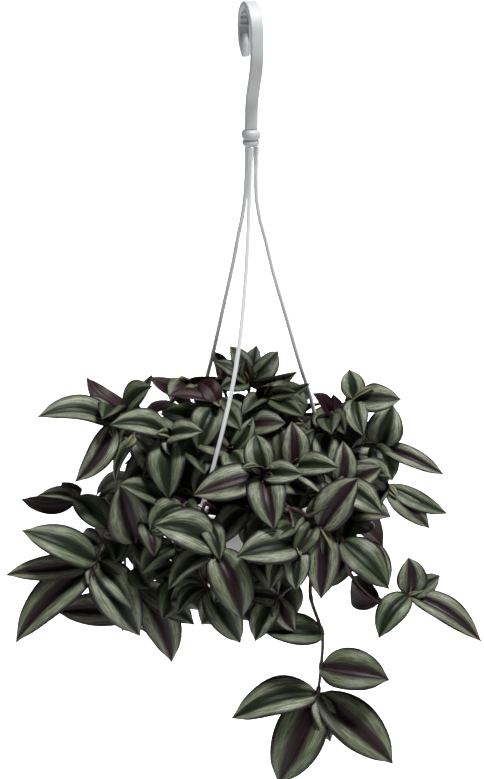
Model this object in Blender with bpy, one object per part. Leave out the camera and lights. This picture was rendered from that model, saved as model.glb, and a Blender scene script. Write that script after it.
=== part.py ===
"""Tradescantia in a hanging bowl pot. Origin: the seat of the hook. +X right, +Y back, +Z up."""
import math

import bmesh
import bpy
from mathutils import Matrix, Vector
from mathutils.bvhtree import BVHTree

CM = 0.01
MM = 0.001

# Pot and soil, in metres.
RIM_Z = -0.410
RIM_RADIUS = 0.0750
RIM_BAND = 0.0130
RIM_OVERHANG = 0.0025
POT_HEIGHT = 0.080
BASE_RADIUS = 0.038
WALL = 0.0018
SOIL_DROP = 0.008
SOIL_CROWN = 0.005
GAP = 0.0003

# Walls of the pot: each knee is (outward from the base or in from the shoulder, up from the base).
LOW_KNEE = (0.0150, 0.024)
HIGH_KNEE = (0.0105, 0.046)
BASE_EDGE = 0.002
NECK_INSET = 0.0015
RIM_EDGE = 0.0008
RIM_LIP = 0.0045
INNER_DRAFT = 0.0007
INNER_NECK_INSET = 0.0028
FLOOR_DISH = 0.0004
KNEE_WALL_RISE = (0.0010, 0.0008)
POT_SIDES = 36
SOIL_SIDES = 32
SOIL_CLEARANCE = 0.0005
SOIL_SLOPE_SHARE = (0.6, 0.7)

# Hook: the strap's centre line lies in one upright plane, given as (along, up) points.
HOOK_WIDTH = 0.0100
HOOK_THICK = 0.0056
HOOK_CHANNEL = 0.0038
HOOK_RIB_CHANNEL = 0.0006
HOOK_RIBS = (7, 14)
HOOK_WALL = 0.0014
HOOK_WALL_DRAFT = 0.0003
HOOK_TURN = math.radians(105)
HOOK_LOOP_RADIUS = 0.0205
HOOK_LOOP_STEPS = 10
HOOK_TIP_DROP = 0.024
HOOK_TIP_REACH = (0.74, 0.93)
HOOK_TIP_TAPER = (0.62, 0.85)
HOOK_SHANK = [(-0.0205, -0.031), (-0.0180, -0.045), (-0.0105, -0.060), (-0.0035, -0.073), (-0.0005, -0.086),
              (0.0, -0.0985)]
HOOK_LEAN_DROP = 0.09
COLLAR_X = 0.0030
COLLAR_TOP_Z = -0.0990
COLLAR_PROFILE = [(0, 0), (0.0058, 0), (0.0078, -0.0020), (0.0078, -0.0062), (0.0064, -0.0078), (0.0072, -0.0094),
                  (0.0070, -0.0120), (0.0055, -0.0140), (0, -0.0140)]
COLLAR_SIDES = 18

# Strands: directions from above, then (share of the drop, radius in mm) down the strand.
STRAND_TOP_Z = -0.1136
STRAND_END_RISE = 0.0045
STRAND_WIDTH = 0.0034
STRAND_THICK = 0.0024
STRAND_STEPS = 2
STRAND_FOOT_RADIUS = 0.0690
FOOT_SIZE = (0.0084, 0.0090)
FOOT_HEIGHT = 0.0062
FOOT_OUTWARD = 0.0002
TAB_SIZE = (0.0026, 0.0070)
TAB_INWARD = 0.0024
TAB_DROP = 0.0055
TAB_TOP = 0.0030
STRAND_DIRECTIONS = {"front": (-0.446, -0.895), "back": (-0.552, 0.834), "right": (0.998, 0.061)}
STRAND_TWIST = {"front": 28, "back": 0, "right": 0}
STRAND_SPIN = {"front": 0, "back": 0, "right": 60}
STRAND_BOW = [(0, 4.5), (0.12, 5.5), (0.2, 9), (0.27, 15), (0.36, 22), (0.5, 35), (0.63, 47), (0.75, 59), (0.87, 66)]

# Foliage, in centimetres from the middle of the rim: right, back, up.
STEM_RADIUS = 0.19
STEM_SIDES = 5
STEM_TAPER = 0.35
STEM_CLEARANCE = 0.03
BRANCH_SHARE = 0.82
PATH_STEPS = 2
LEAF_INSET = 0.06
LEAF_THICK = 0.11
LEAF_FOLD = 0.28
LEAF_LIFT = 0.01
LEAF_FULLNESS = 1.12
LEAF_STATIONS = [0.0, 0.16, 0.42, 0.75, 1.0]
LEAF_CLEARANCE = 0.05
LEAF_LEAST_HALF = 0.16
LEAF_OUTLINE = (0.55, 0.85, 0.40)
FRONT_FACING = (0, -0.62, 0.72)
BACK_FACING = (0, 0.5, 0.8)
BACK_FACING_FROM = 2.5
STEEP_LEAF = 0.15
TURN_STEPS = [0, 8, -8, 16, -16, 26, -26, 38, -38]
DIP_STEPS = [0, 10, -10, 20, -20, 32, -32]
SHRINK_STEPS = [1.0, 0.88, 0.76, 0.62]

# Each shoot: its stems (the first grows from the soil, the others branch off), each with the
# points it passes through, then its leaves as (point it grows at, reach right, reach back,
# reach up, width, roll in degrees).
SHOOTS = {
    "shoot_top_centre": [
        ([(0.5, 1.5, -0.2), (1, 2.5, 4), (0.5, 1.5, 9)],
         [(2, -1.5, 1.5, 3, 1.6, 10), (2, 2.5, 2, 2.5, 1.7, 20), (2, 4.2, 0, 1.2, 1.2, 60),
          (2, -0.2, -0.4, 2.4, 1.1, 0), (2, -3, 0.4, 1.8, 1.6, 0), (2, 0.8, 1.6, 3, 1.5, 0),
          (2, -2.4, -1.8, 0.2, 1.6, 0), (1, -3.5, 1, 2, 2.2, 0), (1, -1.6, -1.8, 2.4, 1.8, 0)]),
        ([(1, 2.5, 4), (2, 0.5, 7), (2, -1, 8.6)],
         [(2, 3.8, 0, 1.2, 1.1, 50), (2, 2.6, -2.2, 1, 1.1, 40), (2, -2, -3, -0.6, 1.6, 0),
          (2, 3.2, -3, -0.6, 1.7, 0), (2, 0.4, -2, 1.6, 1.5, 0), (2, 3.6, -1.2, -0.4, 1.4, 0),
          (1, 4, 2, 1, 2.3, 0), (1, 2.6, -1.6, 1.8, 1.8, 0)]),
    ],
    "shoot_top_back": [
        ([(-0.6, 3.2, -0.2), (-0.8, 4.4, 4.4), (-1.6, 4, 8)],
         [(2, -2.8, 0.6, 1.6, 1.7, 0), (2, -1, 0.8, 3, 1.6, 0), (2, 1.6, 0.6, 2.4, 1.6, 0),
          (2, -2.2, -1.6, 0.2, 1.7, 0), (2, 2.4, -1, 0.8, 1.6, 0)]),
    ],
    "shoot_top_left": [
        ([(-1.5, 1.5, -0.2), (-3, 2, 5), (-4.5, 0.5, 9.2)],
         [(2, -3.6, 3, -0.4, 1.7, 170), (2, 2.2, -0.4, 0.6, 1.1, 60), (2, -1.5, -2.8, -0.8, 2, 0),
          (1, -4, 2.5, 0.5, 2.4, 0)]),
        ([(-3, 2, 5), (-2.2, -1, 7.5), (-2, -2.5, 8.2)],
         [(2, -4.2, -0.4, 1, 2, 40), (2, -1.6, 2, 1.6, 1.5, 0), (2, -1.5, -2.6, -3.2, 2.5, 0),
          (2, 2, -2.4, -1.2, 1.8, 0)]),
    ],
    "shoot_left_high": [
        ([(-2.8, 0.5, -0.2), (-6.5, 1, 4), (-9.8, -1, 7.2), (-10.8, -2, 6.3)],
         [(2, -3.5, 2.2, 2.1, 1.8, 175), (2, 2.2, 2.4, 2.6, 1.3, 60), (2, 2.2, -1.4, 2.6, 2.6, 0),
          (3, -3.6, 2.4, 1, 2, 0), (3, -6.1, -2, 1.2, 2.7, 0), (3, -2.8, -3, -4.2, 2, -30)]),
        ([(-6.5, 1, 4), (-8.5, -1.5, 6), (-9, -3, 5.5)],
         [(2, -1.6, -1.6, -3.4, 1.5, 30), (2, 2.6, -2, -3, 2.2, 0)]),
    ],
    "shoot_left_inner": [
        ([(-2.5, -1.8, -0.2), (-4.5, -3, 4), (-6, -5, 6.2)],
         [(2, -4.8, -1, 1.4, 2.4, 10), (2, 0.2, -2.2, -4.6, 2.8, 0), (2, 0.3, -1.6, -1.2, 1.4, 0),
          (2, 2.8, -2, 1.2, 2.2, 0), (1, -3.5, -3.4, -1.5, 2.6, 0)]),
    ],
    "shoot_left_mid": [
        ([(-3.5, -0.8, -0.2), (-7, -0.8, 1.8), (-9.5, -1, -0.8), (-11.5, -1, -2), (-14, -1, -1)],
         [(4, -4.6, -0.6, 0.2, 1.5, 165), (4, -1.2, 1.6, 1.2, 1.8, 150), (4, -3, -2, 1.2, 1.4, 0),
          (3, 2.6, -1.4, 2.6, 1.2, 40), (1, -2.5, -1.5, 3.2, 2.4, 0)]),
    ],
    "shoot_left_low": [
        ([(-4, -2, -0.2), (-8, -3, 0.8), (-11, -3.6, -2.5), (-12, -4, -5.4)],
         [(3, -6.2, -1.2, 3.2, 3, 0), (3, -7.6, -1.2, -0.4, 2, -15), (3, -7, -2, -6.2, 3, -10),
          (3, 3.6, -3, -5.4, 3.4, 0), (3, 5, -3, -1.6, 2.4, 0), (3, -0.4, -2.2, -1.6, 1.2, 0),
          (2, -3.5, 2, 1.5, 2.4, 0)]),
        ([(-8, -3, 0.8), (-9.6, -2.4, -4), (-9.4, -3, -10.6)],
         [(2, -6, -1.2, 0.9, 2.6, 0), (2, 1.4, 2.5, -2, 2.4, 0), (1, 2.5, 3, -1, 2.4, 0)]),
    ],
    "shoot_left_front": [
        ([(-3.4, -3.6, -0.2), (-6.5, -6, 1), (-8.6, -6, -2.8), (-8.4, -4.8, -7.2)],
         [(2, -1.2, -0.8, 5.4, 3.3, 0), (3, 3, -0.8, -6.4, 2.8, 0), (3, 4.8, -1.2, -2.8, 2.4, 0),
          (2, 3.6, -2, -2.4, 2.4, 0), (1, -3.4, -1.5, 2, 2.2, 0)]),
    ],
    "shoot_front_left": [
        ([(-2, -5, -0.2), (-2.8, -8, 1.4), (-3, -9.8, 0.6), (-2, -11, -1.5)],
         [(2, -4, -1.4, -0.4, 2.2, 10), (2, 1.6, -2.4, -2.4, 1.7, 0), (3, -4.9, -1.2, 2.4, 3.2, 0),
          (3, 2.4, -2, -5, 3.2, 0), (3, -3.6, -1.6, -2.8, 2, 0)]),
        ([(-3, -9.8, 0.6), (-3.4, -9.6, -2.6), (-2.6, -10, -5.2)],
         [(2, 3, -1, -4.2, 2.4, 0), (2, -2.2, -1.6, -1.6, 1.7, 20), (2, -3, 1, -1.6, 2.2, 0)]),
    ],
    "shoot_front_high": [
        ([(-0.6, -2.4, -0.2), (-0.3, -3.2, 3), (-0.9, -4.5, 4.8)],
         [(2, -3.4, -1.4, -2.8, 2.3, 0), (2, 1.2, -2.6, -1.6, 2.2, 0), (2, 1.8, 0.6, 3, 1.4, 30),
          (2, -2.2, 0.4, 2.6, 2, 0), (1, -3.4, -1.6, 1.2, 2.4, 0), (1, 2.4, -1, 2.6, 2, 0),
          (1, 3.4, -2.6, -1.6, 2.4, 0)]),
    ],
    "shoot_centre": [
        ([(1.5, -3, -0.2), (2.2, -6, 3), (2, -9, 4.4)],
         [(2, -0.8, 1.6, 3, 2.2, 0), (2, -5.8, -1.6, -1.2, 3, 10), (2, 1, -3.4, -3.4, 2.8, 0),
          (2, -2, -2.4, 1.4, 1.2, 30), (2, 3, -1.4, 0.6, 2, 0), (1, 3.4, -1, 1.6, 2.4, 0)]),
    ],
    "shoot_centre_right": [
        ([(3, -1.8, -0.2), (3.8, -4, 2.6), (4.4, -6, 4)],
         [(2, 3.6, -2, 0.8, 2.1, 0), (2, -0.2, 1, 3.8, 2.2, 0), (2, 2.4, -2.6, -1.4, 2, 0),
          (1, 2.4, 1.2, 4, 1.6, 20), (1, -2.6, 1.5, 3.4, 2.2, 0), (1, 0.6, -2.2, -3.3, 2.8, 0)]),
    ],
    "shoot_front_right": [
        ([(2.2, -4.8, -0.2), (4, -8, 1.2), (4.6, -11, -1)],
         [(2, -4.8, -2, 0, 3.1, 0), (2, 0, -2, -3, 2, 0), (2, -2, -1.2, -3.2, 2, 10),
          (1, -2.8, -2, 0.4, 1.8, 0)]),
        ([(4, -8, 1.2), (5.4, -9.8, 1.2), (6.6, -10.6, 0.4)],
         [(2, 0, -2, -5.2, 2.6, 0), (2, 2.8, -0.4, 4.8, 2.9, 0), (1, 1, -1.8, -4, 2.4, 0)]),
    ],
    "shoot_trailing": [
        ([(3.5, -4.4, -0.2), (5.9, -6.4, 1.4), (6, -9.6, -3), (6, -10.6, -5.6), (7, -11, -8.6),
          (7, -11, -11.6), (6.8, -11, -14)],
         [(4, -4.8, -1, 0.6, 2.6, 0), (5, 5.6, -1.2, 0, 3.4, 0), (6, -7, -1.4, -1.8, 3, 0),
          (6, -3.4, -1.6, -7.2, 3.8, 0), (6, 6.6, -1.4, -5, 3.4, 0), (6, 1, -1.8, -3.4, 1.8, 0)]),
        ([(6, -9.6, -3), (4.6, -10.6, -4.4), (3.2, -11, -5.5)],
         [(2, -1.6, -1.6, -3.2, 2.1, 0), (2, 1.5, -1.4, -2.4, 1.8, 0), (2, -3, -1, 0.8, 2, 0)]),
    ],
    "shoot_right_low": [
        ([(4.6, -3.5, -0.2), (6.6, -4.6, 1.3), (8.6, -6.8, -2), (9.4, -6.8, -5), (12, -6, -7.6), (14.4, -6, -7)],
         [(2, 4, -2, -3.2, 3, 0), (4, -2.6, -1.6, 2.6, 2.4, 160), (5, -0.2, 0.6, 3.2, 2.2, 0),
          (5, 2.6, 0.6, 1.6, 1.6, 20), (5, 6, -2, -3.2, 2.3, 0), (5, -2.6, -2, -3, 2.2, 0)]),
    ],
    "shoot_right_front": [
        ([(4.1, -1.5, -0.2), (6.4, -3, 2.6), (8.4, -5, 2.2)],
         [(2, 0.2, 0.6, 3.8, 2, 10), (2, 3.4, -2.4, -1.4, 2.3, 0), (2, -0.6, -3, -2.6, 2.2, 0),
          (2, 3.4, -0.4, 1.8, 2, 20)]),
    ],
    "shoot_right_mid": [
        ([(5.4, -0.5, -0.2), (7.6, -1.6, 3.2), (11, -1.8, 2.6), (12.4, -3, 1.6)],
         [(3, 5, -1.2, -2, 1.5, 20), (3, 3.6, -2, -2.8, 2, 0), (3, -2.6, -1.4, 2.6, 2.2, 0),
          (3, -1.4, -2, -2.2, 1.3, 30), (2, 1, 2.5, -2.5, 2.2, 0)]),
        ([(7.6, -1.6, 3.2), (10, -0.4, 4.2), (12, 0, 4.1)],
         [(2, 1, 0.4, 3.6, 2.8, 0), (2, 5.2, -2, -1.6, 1.6, 10), (2, 2.6, -0.4, -0.2, 1.3, 170),
          (2, 1, -2, -2.2, 1.7, 0), (1, -1.2, 3, 2, 2.2, 0)]),
    ],
    "shoot_right_high": [
        ([(3, 0.4, -0.2), (5.2, -0.8, 4), (7.6, -1.4, 7.4), (9.5, -1, 8.5)],
         [(3, 3.8, -1, 0.6, 2.3, 0), (3, 0.6, -2.8, -2.2, 1.9, 0), (3, -0.6, 1, 2.4, 1.8, 0),
          (2, 1, -3, -0.8, 1.6, 20), (2, -1.6, -1.2, 2.2, 1.7, 0), (1, 3.6, 2, 1, 2.4, 0)]),
        ([(5.2, -0.8, 4), (7.3, -2.4, 5.9)],
         [(1, 0.4, 1.2, 3.2, 1.7, 165), (1, -0.2, -2.6, -2.4, 2, 0)]),
    ],
    "shoot_middle_left": [
        ([(-3.2, -0.6, -0.2), (-4.6, -1.2, 3), (-6.6, -2.6, 4)],
         [(2, -3.4, -2.4, -1.4, 2.6, 0), (2, -0.6, -2.6, -3.6, 2.7, 0), (2, -3.4, 1.2, 0.8, 2.2, 0),
          (1, 3, -2, 1.4, 2.4, 0), (1, 1.2, -2.8, -1.6, 2.4, 0)]),
    ],
    "shoot_middle": [
        ([(0.4, -0.8, -0.2), (0.2, -1.6, 4), (0.4, -3.1, 6.5)],
         [(2, -2.8, -2.4, 0.8, 2.3, 0), (2, 2.6, -2.4, 0.2, 2.2, 0), (2, 0.2, -3, -2.6, 2.4, 0),
          (2, 1.8, 1, 2.8, 1.8, 0), (2, -1.8, 1.2, 2.8, 1.8, 0), (1, -3.6, -1.6, 0.4, 2.5, 0),
          (1, 3.4, -2, 0.2, 2.5, 0)]),
    ],
    "shoot_middle_right": [
        ([(2.2, 1.2, -0.2), (3, 0.6, 4), (4.2, -1, 6.2)],
         [(2, 1.2, -2.8, -1.6, 2.2, 0), (2, -1.6, -2.8, -2.4, 2.3, 0), (2, 0.8, 1.4, 3, 1.8, 0),
          (2, -2.4, 0.4, 2.4, 2, 0), (1, 3.4, -2.2, -0.4, 2.4, 0), (1, -2.6, -2.6, -1.6, 2.4, 0)]),
    ],
    "shoot_front_low": [
        ([(0.6, -4.6, -0.2), (0.6, -8.4, 1), (0.4, -9.6, -2.4)],
         [(2, -2.4, -1.4, -3.6, 2.5, 0), (2, 2.4, -1.6, -3.2, 2.3, 0), (2, 3, -1.2, 0.4, 2.2, 0),
          (1, -2.4, -2, -2.4, 2.2, 0)]),
    ],
    "shoot_skirt_left": [
        ([(-3, -4.7, -0.2), (-4.6, -7, 0.8), (-5.2, -7.8, -2.4), (-5, -7.6, -5.4)],
         [(1, -3, -1, -1.4, 2.4, 0), (1, 1.6, -1.6, -2.4, 2.4, 0), (2, -2.8, -0.8, -2.2, 2.5, 0),
          (2, 2.4, -1, -2.6, 2.5, 0), (3, -1.8, -0.8, -3, 2.4, 0), (3, 2, -0.8, -2.4, 2.4, 0)]),
    ],
    "shoot_skirt_middle": [
        ([(-0.9, -5.6, -0.2), (-1.1, -8.3, 0.7), (-1.2, -8.9, -2.6), (-1, -8.6, -5.8)],
         [(2, -3, -0.6, -1.4, 2.5, 0), (2, 3, -0.8, -1.6, 2.5, 0), (3, -2, -0.8, -2.8, 2.4, 0),
          (3, 2.2, -0.8, -2.4, 2.4, 0)]),
    ],
    "shoot_skirt_right": [
        ([(1.6, -5.5, -0.2), (2.2, -8.4, 0.7), (2.5, -8.8, -2.4), (2.7, -8.6, -5.2)],
         [(1, 2.6, -0.8, -1.8, 2.4, 0), (1, -2.2, -1, -2, 2.3, 0), (2, 3, -0.6, -1.8, 2.5, 0),
          (2, -2.6, -0.8, -1.8, 2.4, 0), (3, 2.2, -0.6, -2.6, 2.4, 0)]),
    ],
    "shoot_right_inner": [
        ([(4.4, 1.8, -0.2), (7, 2, 2.6), (9, 2, 3)],
         [(2, 2.8, -2.4, -2.6, 2.6, 0), (2, -0.6, -2.8, -3, 2.4, 0), (2, 3.6, 1.4, 0.4, 2.4, 0),
          (2, -1, 1.4, 3, 2.2, 0), (1, -0.4, 2.2, 3.6, 2.2, 0)]),
    ],
    "shoot_right_hang": [
        ([(5.3, -2.4, -0.2), (7.2, -3.2, 2), (9.2, -4.2, -0.6), (9.6, -4.6, -3.4)],
         [(3, 2.8, -1.8, -2.8, 2.4, 0), (3, -2.2, -1.6, -3, 2.3, 0), (2, 3.4, -1.6, 0.6, 2.4, 0),
          (2, -2, -2, -2.8, 2.4, 0)]),
    ],
    "shoot_left_hang": [
        ([(-4.4, 0.8, -0.2), (-7, 1.8, 1.4), (-8.8, 2.2, -2), (-9.4, 2, -5.4)],
         [(3, -4, -1.4, -2.8, 2.6, 0), (3, 2.6, -2, -3, 2.6, 0), (2, -3.4, -2, 1, 2.5, 0),
          (2, 2.8, -2.6, 0.4, 2.5, 0), (2, -3.4, 2.4, -1, 2.4, 0)]),
    ],
    "shoot_back_centre": [
        ([(0, 4.6, -0.2), (0.4, 8, 0.8), (0.6, 10.4, -2), (1, 11, -5.2)],
         [(1, -4, 2.4, 1, 2.6, 0), (1, 4.4, 2, 0.8, 2.6, 0), (2, -4, 1.6, -2.6, 2.8, 0),
          (2, 3.4, 2.4, -3, 2.8, 0), (3, -1.8, 1.4, -4.2, 2.8, 0)]),
    ],
    "shoot_back_left": [
        ([(-3.2, 3.6, -0.2), (-6.4, 6.4, 0.8), (-8.6, 7.6, -2.2), (-9.4, 8, -5)],
         [(1, -3, 3.2, 1, 2.6, 0), (2, -4.4, 1.4, -1.6, 2.8, 0), (2, 2, 4.4, -2, 2.7, 0),
          (3, -3.4, 1.2, -4, 2.8, 0), (3, 2.2, 2.6, -3.6, 2.6, 0)]),
    ],
    "shoot_back_right": [
        ([(3.6, 3.4, -0.2), (6.8, 6.2, 1), (8.8, 7.4, -1.6), (9.6, 7.8, -4.4)],
         [(1, 3.4, 3, 1, 2.6, 0), (2, 4.2, 1.8, -1.8, 2.8, 0), (2, -1.8, 4.4, -2.2, 2.7, 0),
          (3, 3.4, 1, -3.6, 2.8, 0), (3, -2.4, 2.8, -3.4, 2.6, 0)]),
    ],
    "shoot_back_high_left": [
        ([(-1.6, 4, -0.2), (-3.2, 6, 3.4), (-4.6, 7.2, 4.2)],
         [(2, -4, 2.4, -0.8, 2.6, 0), (2, 0.4, 4.4, -1.6, 2.6, 0), (2, -2, 0.2, 2, 2, 0),
          (1, 3, 2.4, 0.8, 2.4, 0), (1, -4, -1, 0.6, 2.4, 0)]),
    ],
    "shoot_back_high_right": [
        ([(2.4, 3.4, -0.2), (3.8, 5.6, 3.4), (5, 6.8, 4)],
         [(2, 4, 2.4, -1, 2.6, 0), (2, 0, 4.4, -1.6, 2.6, 0), (2, 2.2, 0, 1.8, 2, 0),
          (1, -3, 2.6, 1, 2.4, 0), (1, 4, -0.6, 0.4, 2.4, 0)]),
    ],
}


def clear_scene():
    for obj in list(bpy.data.objects):
        bpy.data.objects.remove(obj, do_unlink=True)


def make_material(name, colour, roughness):
    material = bpy.data.materials.new(name)
    material.use_nodes = True
    shader = material.node_tree.nodes["Principled BSDF"]
    shader.inputs["Base Color"].default_value = (*colour, 1)
    shader.inputs["Roughness"].default_value = roughness
    shader.inputs["Metallic"].default_value = 0
    return material


def add_object(name, points, faces, material, smooth=True, split=False):
    mesh = bpy.data.meshes.new(name)
    mesh.from_pydata([tuple(p) for p in points], [], faces)
    work = bmesh.new()
    work.from_mesh(mesh)
    bmesh.ops.triangulate(work, faces=[face for face in work.faces if split or len(face.verts) > 4])
    bmesh.ops.recalc_face_normals(work, faces=work.faces)
    work.to_mesh(mesh)
    work.free()
    for polygon in mesh.polygons:
        polygon.use_smooth = smooth
    obj = bpy.data.objects.new(name, mesh)
    obj.data.materials.append(material)
    bpy.context.scene.collection.objects.link(obj)
    return obj


def ring_solid(rings):
    """Points and faces of a solid skinned over equal rings and capped at both ends."""
    count = len(rings[0])
    points = [p for ring in rings for p in ring]
    faces = []
    for a in range(0, len(points) - count, count):
        b = a + count
        for j in range(count):
            k = (j + 1) % count
            faces.append((a + j, a + k, b + k, b + j))
    faces.append(tuple(range(count)))
    faces.append(tuple(range(len(points) - count, len(points))))
    return points, faces


def turned_solid(profile, sides, centre):
    """A body of revolution from (radius, height) points. A zero radius closes on the axis."""
    points = []
    rows = []
    for radius, height in profile:
        if radius == 0:
            rows.append([len(points)] * sides)
            points.append(Vector((centre[0], centre[1], centre[2] + height)))
            continue
        rows.append(list(range(len(points), len(points) + sides)))
        for j in range(sides):
            angle = 2 * math.pi * j / sides
            offset = Vector((radius * math.cos(angle), radius * math.sin(angle), height))
            points.append(Vector(centre) + offset)
    faces = []
    for low, high in zip(rows, rows[1:]):
        for j in range(sides):
            k = (j + 1) % sides
            corners = []
            for corner in (low[j], low[k], high[k], high[j]):
                if corner not in corners:
                    corners.append(corner)
            faces.append(tuple(corners))
    return points, faces


def smooth_path(points, steps):
    """Catmull-Rom curve through the points, with this many steps between each two."""
    path = []
    last = len(points) - 1
    for i in range(last):
        p0, p1 = points[max(i - 1, 0)], points[i]
        p2, p3 = points[i + 1], points[min(i + 2, last)]
        for s in range(steps):
            t = s / steps
            path.append(0.5 * (2 * p1 + (p2 - p0) * t + (2 * p0 - 5 * p1 + 4 * p2 - p3) * t * t
                               + (3 * p1 - p0 - 3 * p2 + p3) * t ** 3))
    path.append(points[last].copy())
    return path


def tube(path, radii, sides):
    """Rings round a path, kept from twisting, as a capped solid."""
    rings = []
    side = None
    for i, centre in enumerate(path):
        along = (path[min(i + 1, len(path) - 1)] - path[max(i - 1, 0)]).normalized()
        if side is None:
            side = along.orthogonal().normalized()
        side = (side - along * side.dot(along)).normalized()
        other = along.cross(side)
        ring = []
        for j in range(sides):
            angle = 2 * math.pi * j / sides
            ring.append(centre + radii[i] * (math.cos(angle) * side + math.sin(angle) * other))
        rings.append(ring)
    return ring_solid(rings)


def joined(base, others):
    """Unites the other objects into the base with exact Booleans and removes them."""
    for other in others:
        modifier = base.modifiers.new("join", "BOOLEAN")
        modifier.operation = "UNION"
        modifier.solver = "EXACT"
        modifier.object = other
        graph = bpy.context.evaluated_depsgraph_get()
        result = bpy.data.meshes.new_from_object(base.evaluated_get(graph))
        base.modifiers.clear()
        base.data = result
        bpy.data.objects.remove(other, do_unlink=True)
    return base


def hook_line():
    """Centre line of the hook strap as (along, up) in metres, from the tip to the collar."""
    radius = HOOK_LOOP_RADIUS
    centre_up = -radius + HOOK_THICK / 2
    line = [Vector((radius * HOOK_TIP_REACH[0], centre_up - HOOK_TIP_DROP)),
            Vector((radius * HOOK_TIP_REACH[1], centre_up - HOOK_TIP_DROP / 2))]
    for step in range(HOOK_LOOP_STEPS + 1):
        angle = math.pi * step / HOOK_LOOP_STEPS
        line.append(Vector((radius * math.cos(angle), centre_up + radius * math.sin(angle))))
    return line + [Vector(point) for point in HOOK_SHANK]


def strap_section(half_wide, half_thick, channel):
    """Section of the strap as (across, inward), with a channel sunk in its inner face."""
    mouth = half_wide - HOOK_WALL
    bottom = mouth - HOOK_WALL_DRAFT
    right = [(half_wide, -half_thick), (half_wide, half_thick), (mouth, half_thick), (bottom, half_thick - channel)]
    return right + [(-across, inward) for across, inward in reversed(right)]


def build_hook(material):
    """S-shaped strap with a channel down its inner face, crossed by ribs."""
    line = hook_line()
    last = len(line) - 1
    across = Vector((-math.sin(HOOK_TURN), math.cos(HOOK_TURN), 0))
    forward = Vector((math.cos(HOOK_TURN), math.sin(HOOK_TURN), 0))
    rings = []
    for i, point in enumerate(line):
        along = (line[min(i + 1, last)] - line[max(i - 1, 0)]).normalized()
        tangent = forward * along.x + Vector((0, 0, along.y))
        normal = tangent.cross(across).normalized()
        lean = COLLAR_X * min(1, max(0, -point.y / HOOK_LEAN_DROP))
        place = forward * point.x + Vector((lean, 0, point.y))
        taper = HOOK_TIP_TAPER[i] if i < len(HOOK_TIP_TAPER) else 1
        shallow = i < 1 or i > last - 2 or i in HOOK_RIBS
        channel = HOOK_RIB_CHANNEL if shallow else HOOK_CHANNEL * taper
        section = strap_section(HOOK_WIDTH / 2 * taper, HOOK_THICK / 2 * taper, channel)
        rings.append([place + across * a + normal * b for a, b in section])
    points, faces = ring_solid(rings)
    return add_object("hanger_hook", points, faces, material, smooth=False)


def build_collar(material):
    """Rounded knuckle under the hook."""
    points, faces = turned_solid(COLLAR_PROFILE, COLLAR_SIDES, (COLLAR_X, 0, COLLAR_TOP_Z))
    return add_object("hanger_collar", points, faces, material)


def build_block(name, out, radius, low, high, size, material):
    """Upright block of (depth, width) at this radius, square to the outward direction."""
    sideways = Vector((-out.y, out.x, 0))
    rings = []
    for z in (low, high):
        ring = []
        for a, b in ((-1, -1), (1, -1), (1, 1), (-1, 1)):
            ring.append(out * (radius + a * size[0] / 2) + sideways * (b * size[1] / 2) + Vector((0, 0, z)))
        rings.append(ring)
    points, faces = ring_solid(rings)
    return add_object(name, points, faces, material, smooth=False)


def strand_line(name, out):
    """Centre line of a strand from the collar down to its foot."""
    drop = RIM_Z + STRAND_END_RISE - STRAND_TOP_Z
    rows = [(share, radius * MM) for share, radius in STRAND_BOW]
    rows.append((1.0, STRAND_FOOT_RADIUS))
    path = []
    for share, radius in rows:
        lean = Vector((COLLAR_X * (1 - share), 0, STRAND_TOP_Z + drop * share))
        twist = math.radians(STRAND_TWIST[name] * (1 - share * share))
        path.append(lean + Matrix.Rotation(twist, 3, "Z") @ out * radius)
    return smooth_path(path, STRAND_STEPS)


def build_strand(name, direction, material):
    """Flat strand that bows out from the collar, with a foot that sits over the pot rim."""
    out = Vector((direction[0], direction[1], 0)).normalized()
    sideways = Vector((-out.y, out.x, 0))
    path = strand_line(name, out)
    wide = sideways * STRAND_WIDTH / 2
    spin = math.radians(STRAND_SPIN[name])
    rings = []
    for i, centre in enumerate(path):
        along = (path[min(i + 1, len(path) - 1)] - path[max(i - 1, 0)]).normalized()
        deep = sideways.cross(along).normalized() * STRAND_THICK / 2
        corners = [wide + deep, -wide + deep, -wide - deep, wide - deep]
        rings.append([centre + Matrix.Rotation(spin, 3, along) @ corner for corner in corners])
    points, faces = ring_solid(rings)
    strand = add_object("hanger_strand_" + name, points, faces, material, smooth=False)
    foot = build_block("foot", out, STRAND_FOOT_RADIUS + FOOT_OUTWARD, RIM_Z + GAP, RIM_Z + FOOT_HEIGHT,
                       FOOT_SIZE, material)
    tab = build_block("tab", out, STRAND_FOOT_RADIUS - TAB_INWARD, RIM_Z - TAB_DROP, RIM_Z + TAB_TOP,
                      TAB_SIZE, material)
    return joined(strand, [foot, tab])


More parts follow.
